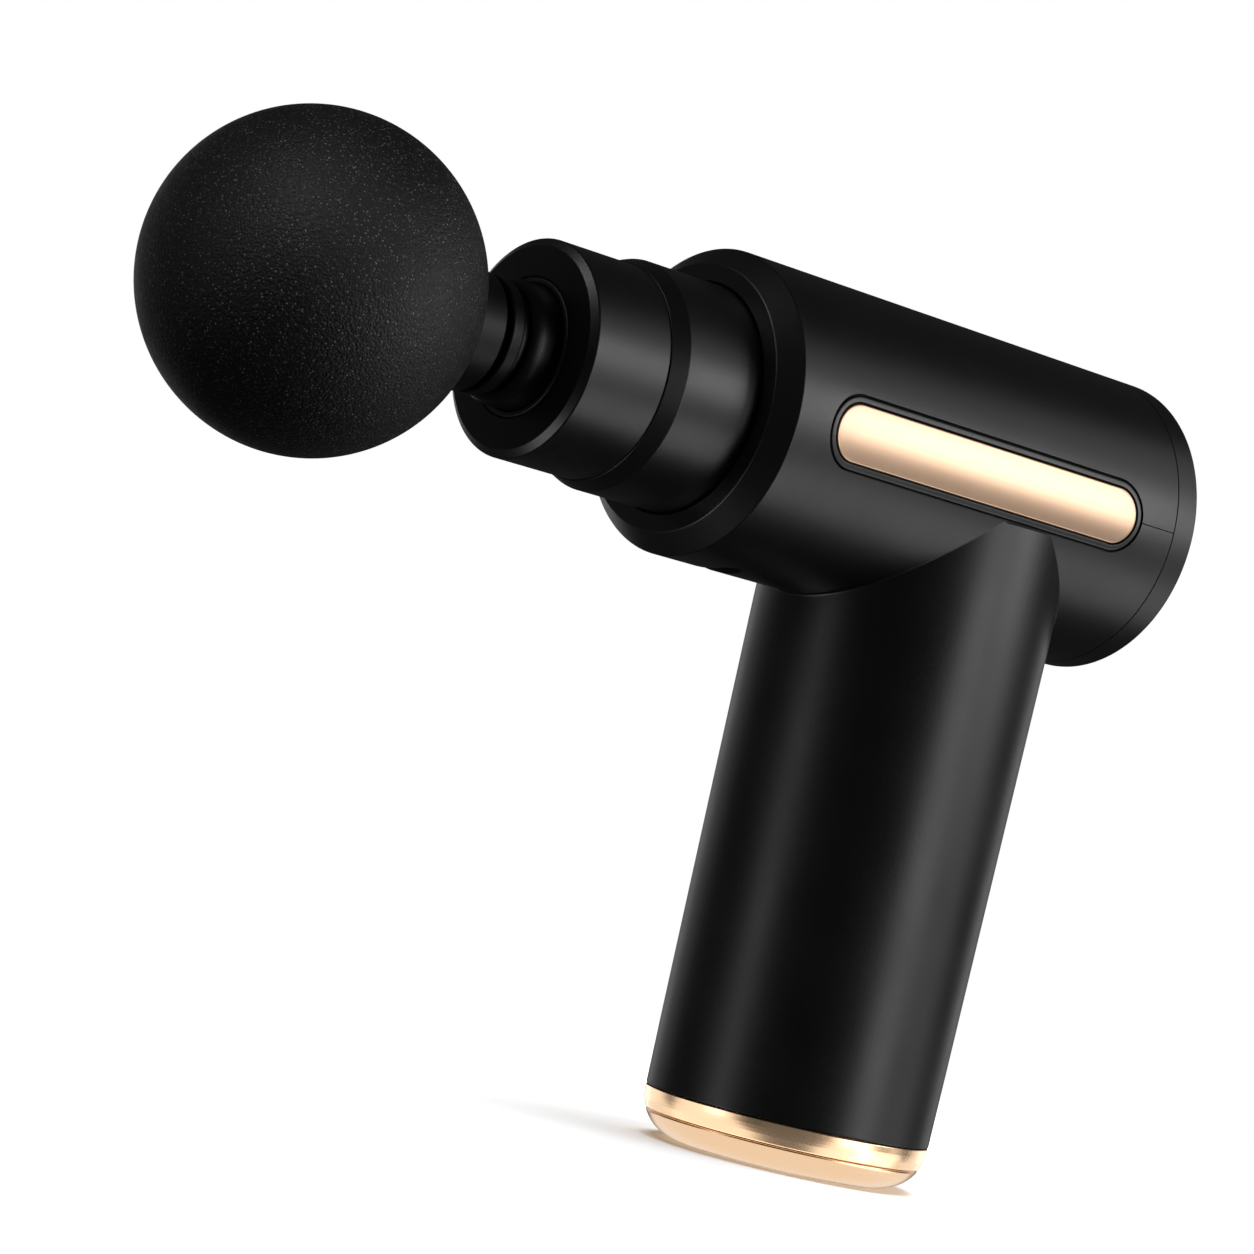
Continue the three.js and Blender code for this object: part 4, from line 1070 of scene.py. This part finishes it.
def power_symbol():
    """The groove of a plain on/off mark: an open ring with a bar in its gap."""
    ring_r = 2.7
    line = 0.35
    bar_low = AXIS_Z - 0.2
    bar_high = AXIS_Z + 3.6
    floor = BUTTON_FACE - 0.22
    outside = BUTTON_FACE + 1
    gap = math.radians(38)
    steps = 28
    outline = []
    for radius, order in ((ring_r + line, range(steps + 1)), (ring_r - line, range(steps, -1, -1))):
        for k in order:
            angle = math.pi / 2 + gap + (2 * math.pi - 2 * gap) * k / steps
            outline.append((radius * math.cos(angle), AXIS_Z + radius * math.sin(angle)))
    bar = [(-line, bar_low), (line, bar_low), (line, bar_high), (-line, bar_high)]
    return [
        prism("mark_ring", outline, "x", floor, outside),
        prism("mark_bar", bar, "x", floor, outside),
    ]


def build_rear_ring():
    """The ring that closes the barrel's rear end and holds the panel."""
    joint = BARREL_REAR + 0.06
    inner = BARREL_R - WALL - GAP
    seat = PANEL_R + 0.35
    section = [
        (REAR_WEB, REAR_WEB_R, 0.1),
        (REAR_WEB, inner, 0.1),
        (joint, inner, 0.05),
        (joint, BARREL_R, 0.14),
        (REAR_END, BARREL_R, 0.6),
        (REAR_END, seat, 0.45),
        (REAR_SEAT, seat, 0.1),
        (REAR_SEAT, REAR_WEB_R, 0.1),
    ]
    finish_piece(turned("rear_ring", section), "housing", SHELL, "shell", "rear_frame")


def build_panel():
    """The rear panel with its holes for the button, the lamps and the port."""
    section = [
        (PANEL_FRONT, 0, 0),
        (PANEL_FRONT, PANEL_R, 0.1),
        (PANEL_FACE, PANEL_R, 0.3),
        (PANEL_FACE, 0, 0),
    ]
    panel = welded(turned("panel_disc", section))
    outlines = [
        circle(BUTTON_R + 0.18, 0, AXIS_Z, FINE),
        circle(0.6, 0, MARK_Z, 24),
        rear_stadium(4.75, 1.85, PORT_Z),
    ]
    outlines += [circle(0.72, y, z, 24) for y, z in led_spots()]
    cut_away(panel, [through_panel(outline) for outline in outlines])
    true_normals(panel, barrel_normal)
    finish_piece(panel, "housing", panel_material(), "panel", "rear_panel")


def build_button():
    """The power button with its mark."""
    skirt_front = 32.3
    hollow = 34.9
    section = [
        (hollow, 0, 0),
        (hollow, BUTTON_SKIRT_R, 0.2),
        (skirt_front, BUTTON_SKIRT_R, 0.1),
        (skirt_front, BUTTON_R, 0.1),
        (BUTTON_FACE, BUTTON_R, 0.35),
        (BUTTON_FACE, 0, 0),
    ]
    button = welded(turned("button_cap", section, facets=MIDDLING))
    cut_away(button, power_symbol())
    true_normals(button, barrel_normal)
    finish_piece(button, "power_button", PANEL, "panel", "power_button")


def dome(name, radius, y, z, face):
    """A small lens that stands in its hole, flush with the panel."""
    steps = 6
    rise = radius * 0.35
    count = 24
    foot = PANEL_FRONT - 0.6
    profile = [(foot, 0.001), (foot, radius)]
    for k in range(steps + 1):
        turn = math.pi / 2 * k / steps
        profile.append((face - rise + rise * math.sin(turn), radius * math.cos(turn) + 0.0005))
    vertices = []
    for along, r in profile:
        vertices += [Vector((along, across, up)) for across, up in circle(r, y, z, count)]
    return welded(mesh_object(name, vertices, ring_faces(len(profile), count)))


def build_lamps():
    """The six lamps and the small indicator."""
    lenses = [dome(f"lens_{i + 1}", 0.62, y, z, PANEL_FACE) for i, (y, z) in enumerate(led_spots())]
    arc = joined("lamp_lenses", lenses)
    finish_piece(arc, "housing", LAMP, "lamp", "led_light_guide")
    mark = dome("mark_lens", 0.5, 0, MARK_Z, PANEL_FACE - 0.1)
    finish_piece(mark, "housing", MARK, "lamp", "indicator_pipe")


def build_port_shell():
    """The port's drawn-steel mouth: its outer wall, rolled edge and inner wall."""
    rings = [
        (4.6, 28.3),
        (4.6, 35.25),
        (4.52, 35.38),
        (4.4, 35.4),
        (4.29, 35.34),
        (4.25, 35.2),
        (4.25, 29.0),
    ]
    straight = 2.9  # half the flat length of the mouth's long sides
    vertices = []
    for half_width, x in rings:
        outline = rear_stadium(half_width, half_width - straight, PORT_Z)
        vertices += [Vector((x, y, z)) for y, z in outline]
    count = len(outline)
    faces = ring_faces(len(rings), count)
    faces.append(tuple(range(count)))
    last = (len(rings) - 1) * count
    faces.append(tuple(range(last, last + count)))
    shell = welded(mesh_object("port_mouth", vertices, faces))
    shell.modifiers.new("even", "WEIGHTED_NORMAL")
    finish_piece(shell, "housing", STEEL, "steel", "usb_shell")


def build_port_tongue():
    """The port's plastic tongue."""
    middle = Vector((31.95, 0, PORT_Z))
    size = Vector((5.3, 6.6, 0.7))
    work = bmesh.new()
    bmesh.ops.create_cube(work, size=1.0)
    for vertex in work.verts:
        vertex.co = (middle + Vector(a * b for a, b in zip(vertex.co, size))) * MM
    bmesh.ops.bevel(work, geom=work.edges[:], offset=0.12 * MM, segments=2, affect="EDGES")
    tongue = flat_finished(work, "port_tongue")
    finish_piece(tongue, "housing", CARRIER, "carrier", "usb_tongue")


# ---- base


def build_band():
    """The gold band: the upper part of the base's rounded side, with a step inside."""
    top = HANDLE_BASE_Z - 0.12
    foot = BUMPER_TOP + 0.06
    section = [(foot, 0, 0), (foot, base_radius(foot), 0.3)]
    for k in range(2, 5):
        z = BAND_Z + (top - BAND_Z) * k / 6
        section.append((z, base_radius(z), 2.0))
    section += [
        (top, base_radius(top), 0.22),
        (top, BAND_RIM_R, 0.05),
        (BAND_STEP_Z, BAND_RIM_R, 0.1),
        (BAND_STEP_Z, BAND_STEP_R, 0.1),
        (top, BAND_STEP_R, 0.1),
        (top, 0, 0),
    ]
    piece = turned("cap_band", section, axis="z")
    finish_piece(piece, "housing", GOLD_POLISHED, "gold", "base_band")


def build_bumper():
    """The gold bumper: the lower part of the base's rounded side."""
    steps = 9
    section = [(0, 0, 0), (0.0, base_radius(0.0), 0.6)]
    for k in range(2, steps):
        z = BUMPER_TOP * (k / steps) ** 1.6
        section.append((z, base_radius(z), 1.5))
    section += [(BUMPER_TOP, base_radius(BUMPER_TOP), 0.35), (BUMPER_TOP, 0, 0)]
    piece = turned("cap_bumper", section, axis="z")
    finish_piece(piece, "housing", GOLD_POLISHED, "gold", "base_bumper")


build_shells()
build_inlays()
build_collar()
build_nose()
build_seal()
build_plunger()
build_stem()
build_plug_rings()
build_ball()
build_rear_ring()
build_panel()
build_button()
build_lamps()
build_port_shell()
build_port_tongue()
build_band()
build_bumper()

# ---- floor, light and camera


def floor_material():
    """Pale studio floor that fades out into the pale surroundings and throws no light back."""
    material, tree, shader = nodes_of("pale_floor")
    place = add(tree, "ShaderNodeTexCoord")
    reach = add(tree, "ShaderNodeVectorMath", operation="LENGTH")
    tree.links.new(place.outputs["Object"], reach.inputs[0])
    fade = spread(tree, reach.outputs["Value"], 1.0, 0.0, 0.1, 0.4, "SMOOTHSTEP")
    path = add(tree, "ShaderNodeLightPath")
    seen = combined(tree, "MULTIPLY", fade, path.outputs["Is Camera Ray"])
    tree.links.new(seen, shader.inputs["Alpha"])
    shader.inputs["Base Color"].default_value = (0.9, 0.9, 0.9, 1)
    shader.inputs["Roughness"].default_value = 0.9
    return material


def build_floor():
    """A level floor under the base."""
    work = bmesh.new()
    bmesh.ops.create_grid(work, x_segments=40, y_segments=40, size=1.0)
    floor = flat_finished(work, "floor")
    floor.data.materials.append(floor_material())


def softbox(name, aim, azimuth, elevation, distance, width, height, power):
    """An area light that looks at a point. Azimuth 0 is on the -Y side and 90 on the +X side."""
    data = bpy.data.lights.new(name, "AREA")
    data.shape = "RECTANGLE"
    data.size = width
    data.size_y = height
    data.energy = power
    lamp = added(name, data)
    a, e = math.radians(azimuth), math.radians(elevation)
    away = Vector((math.sin(a) * math.cos(e), -math.cos(a) * math.cos(e), math.sin(e)))
    lamp.location = aim + away * distance
    lamp.rotation_euler = (-away).to_track_quat("-Z", "Y").to_euler()
    lamp.visible_camera = False
    return lamp


def only_on(lamp, *names):
    """The lamp lights only these pieces, and everything still casts its shadow on them."""
    group = bpy.data.collections.new(lamp.name + "_receivers")
    for name in names:
        group.objects.link(bpy.data.objects[name])
    lamp.light_linking.receiver_collection = group


def build_world():
    """Surroundings that are white to the camera and dim as a light."""
    world = bpy.data.worlds.new("studio")
    bpy.context.scene.world = world
    world.use_nodes = True
    tree = world.node_tree
    tree.nodes.clear()
    seen = add(tree, "ShaderNodeBackground")
    seen.inputs["Color"].default_value = (1, 1, 1, 1)
    seen.inputs["Strength"].default_value = 1.0
    lit = add(tree, "ShaderNodeBackground")
    lit.inputs["Color"].default_value = (0.96, 0.98, 1, 1)
    lit.inputs["Strength"].default_value = 0.037
    path = add(tree, "ShaderNodeLightPath")
    mix = add(tree, "ShaderNodeMixShader")
    out = add(tree, "ShaderNodeOutputWorld")
    tree.links.new(path.outputs["Is Camera Ray"], mix.inputs["Fac"])
    tree.links.new(lit.outputs["Background"], mix.inputs[1])
    tree.links.new(seen.outputs["Background"], mix.inputs[2])
    tree.links.new(mix.outputs["Shader"], out.inputs["Surface"])


LOOK_AT = Vector((BARREL_FRONT, 0, 76.2)) * MM
CAMERA_AZIMUTH = math.radians(39.82)  # the view runs from -Y towards +X
CAMERA_RISE = math.radians(2.05)  # and slightly upwards
CAMERA_ROLL = math.radians(13.13)
CAMERA_AWAY = 0.6614
CAMERA_LENS = 125.5


def build_camera():
    """The camera at the view's angle."""
    data = bpy.data.cameras.new("camera")
    data.lens = CAMERA_LENS
    data.sensor_width = 36
    data.dof.use_dof = False
    camera = added("camera", data)
    forward = Vector(
        (
            math.sin(CAMERA_AZIMUTH) * math.cos(CAMERA_RISE),
            math.cos(CAMERA_AZIMUTH) * math.cos(CAMERA_RISE),
            math.sin(CAMERA_RISE),
        )
    )
    camera.location = LOOK_AT - forward * CAMERA_AWAY
    turn = forward.to_track_quat("-Z", "Y") @ Quaternion((0, 0, 1), CAMERA_ROLL)
    camera.rotation_mode = "QUATERNION"
    camera.rotation_quaternion = turn
    bpy.context.scene.camera = camera


def light_whole():
    """The soft boxes that light the whole gun."""
    middle = Vector((0, 0, 0.08))
    softbox("key_strip", middle, 17, 4, 0.8, 0.3, 0.6, 1.75)
    softbox("key_front", middle, 43, 15, 0.8, 0.25, 0.32, 1.4)
    softbox("key_high", middle, 62, 33, 0.8, 0.5, 0.28, 0.4)
    softbox("side_fill", middle, 56, 2, 0.8, 0.2, 0.5, 0.22)
    softbox("left_strip", middle, -100, 5, 0.8, 0.2, 0.6, 0.58)
    softbox("left_rim", middle, 165, 2, 0.9, 0.3, 0.6, 0.36)
    softbox("left_edge", middle, 187, 2, 0.9, 0.3, 0.6, 0.16)
    softbox("right_rim", middle, 105, 2, 0.9, 0.3, 0.6, 0.42)
    softbox("under_fill", middle, 46, -30, 0.55, 0.4, 0.25, 0.6)


def light_front():
    """A light for the foam ball and two that draw the edges round the nose and the collar."""
    head_top = softbox("head_top", Vector((-0.12, 0, 0.112)), -55, 50, 0.7, 0.4, 0.4, 2.8)
    only_on(head_top, "foam_ball")
    front = Vector((-0.06, 0, 0.112))
    for word, elevation in (("low", -38), ("high", 42)):
        glint = softbox(f"glint_{word}", front, -104, elevation, 0.7, 0.25, 0.3, 0.8)
        only_on(glint, "nose", "collar", "wiper_seal", "shell_lower", "shell_upper")


def light_floor():
    """A broad light straight above, for the floor."""
    overhead = softbox("overhead", Vector((0, 0, 0.08)), 0, 89, 1.0, 1.0, 1.0, 28.0)
    only_on(overhead, "floor")


def light_base():
    """Cards that the gold band mirrors, and one below that the bumper mirrors."""
    base = Vector((0, 0, 0.01))
    cards = [
        ("base_left", -112, 0.8, 1.4, 4.5),
        ("base_back", 178, 0.7, 1.4, 3.1),
        ("base_front", 14, 0.45, 1.4, 2.7),
        ("base_right", 103, 0.6, 1.4, 2.8),
        ("base_wide", -10, 1.8, 1.6, 1.1),
    ]
    for name, azimuth, width, height, power in cards:
        only_on(softbox(name, base, azimuth, -38, 0.6, width, height, power), "cap_band")
    only_on(softbox("base_under", base, -40, -88, 0.4, 3.0, 3.0, 27.0), "cap_bumper")


bpy.context.scene.view_settings.view_transform = "Standard"
build_floor()
build_world()
build_camera()
light_whole()
light_front()
light_floor()
light_base()
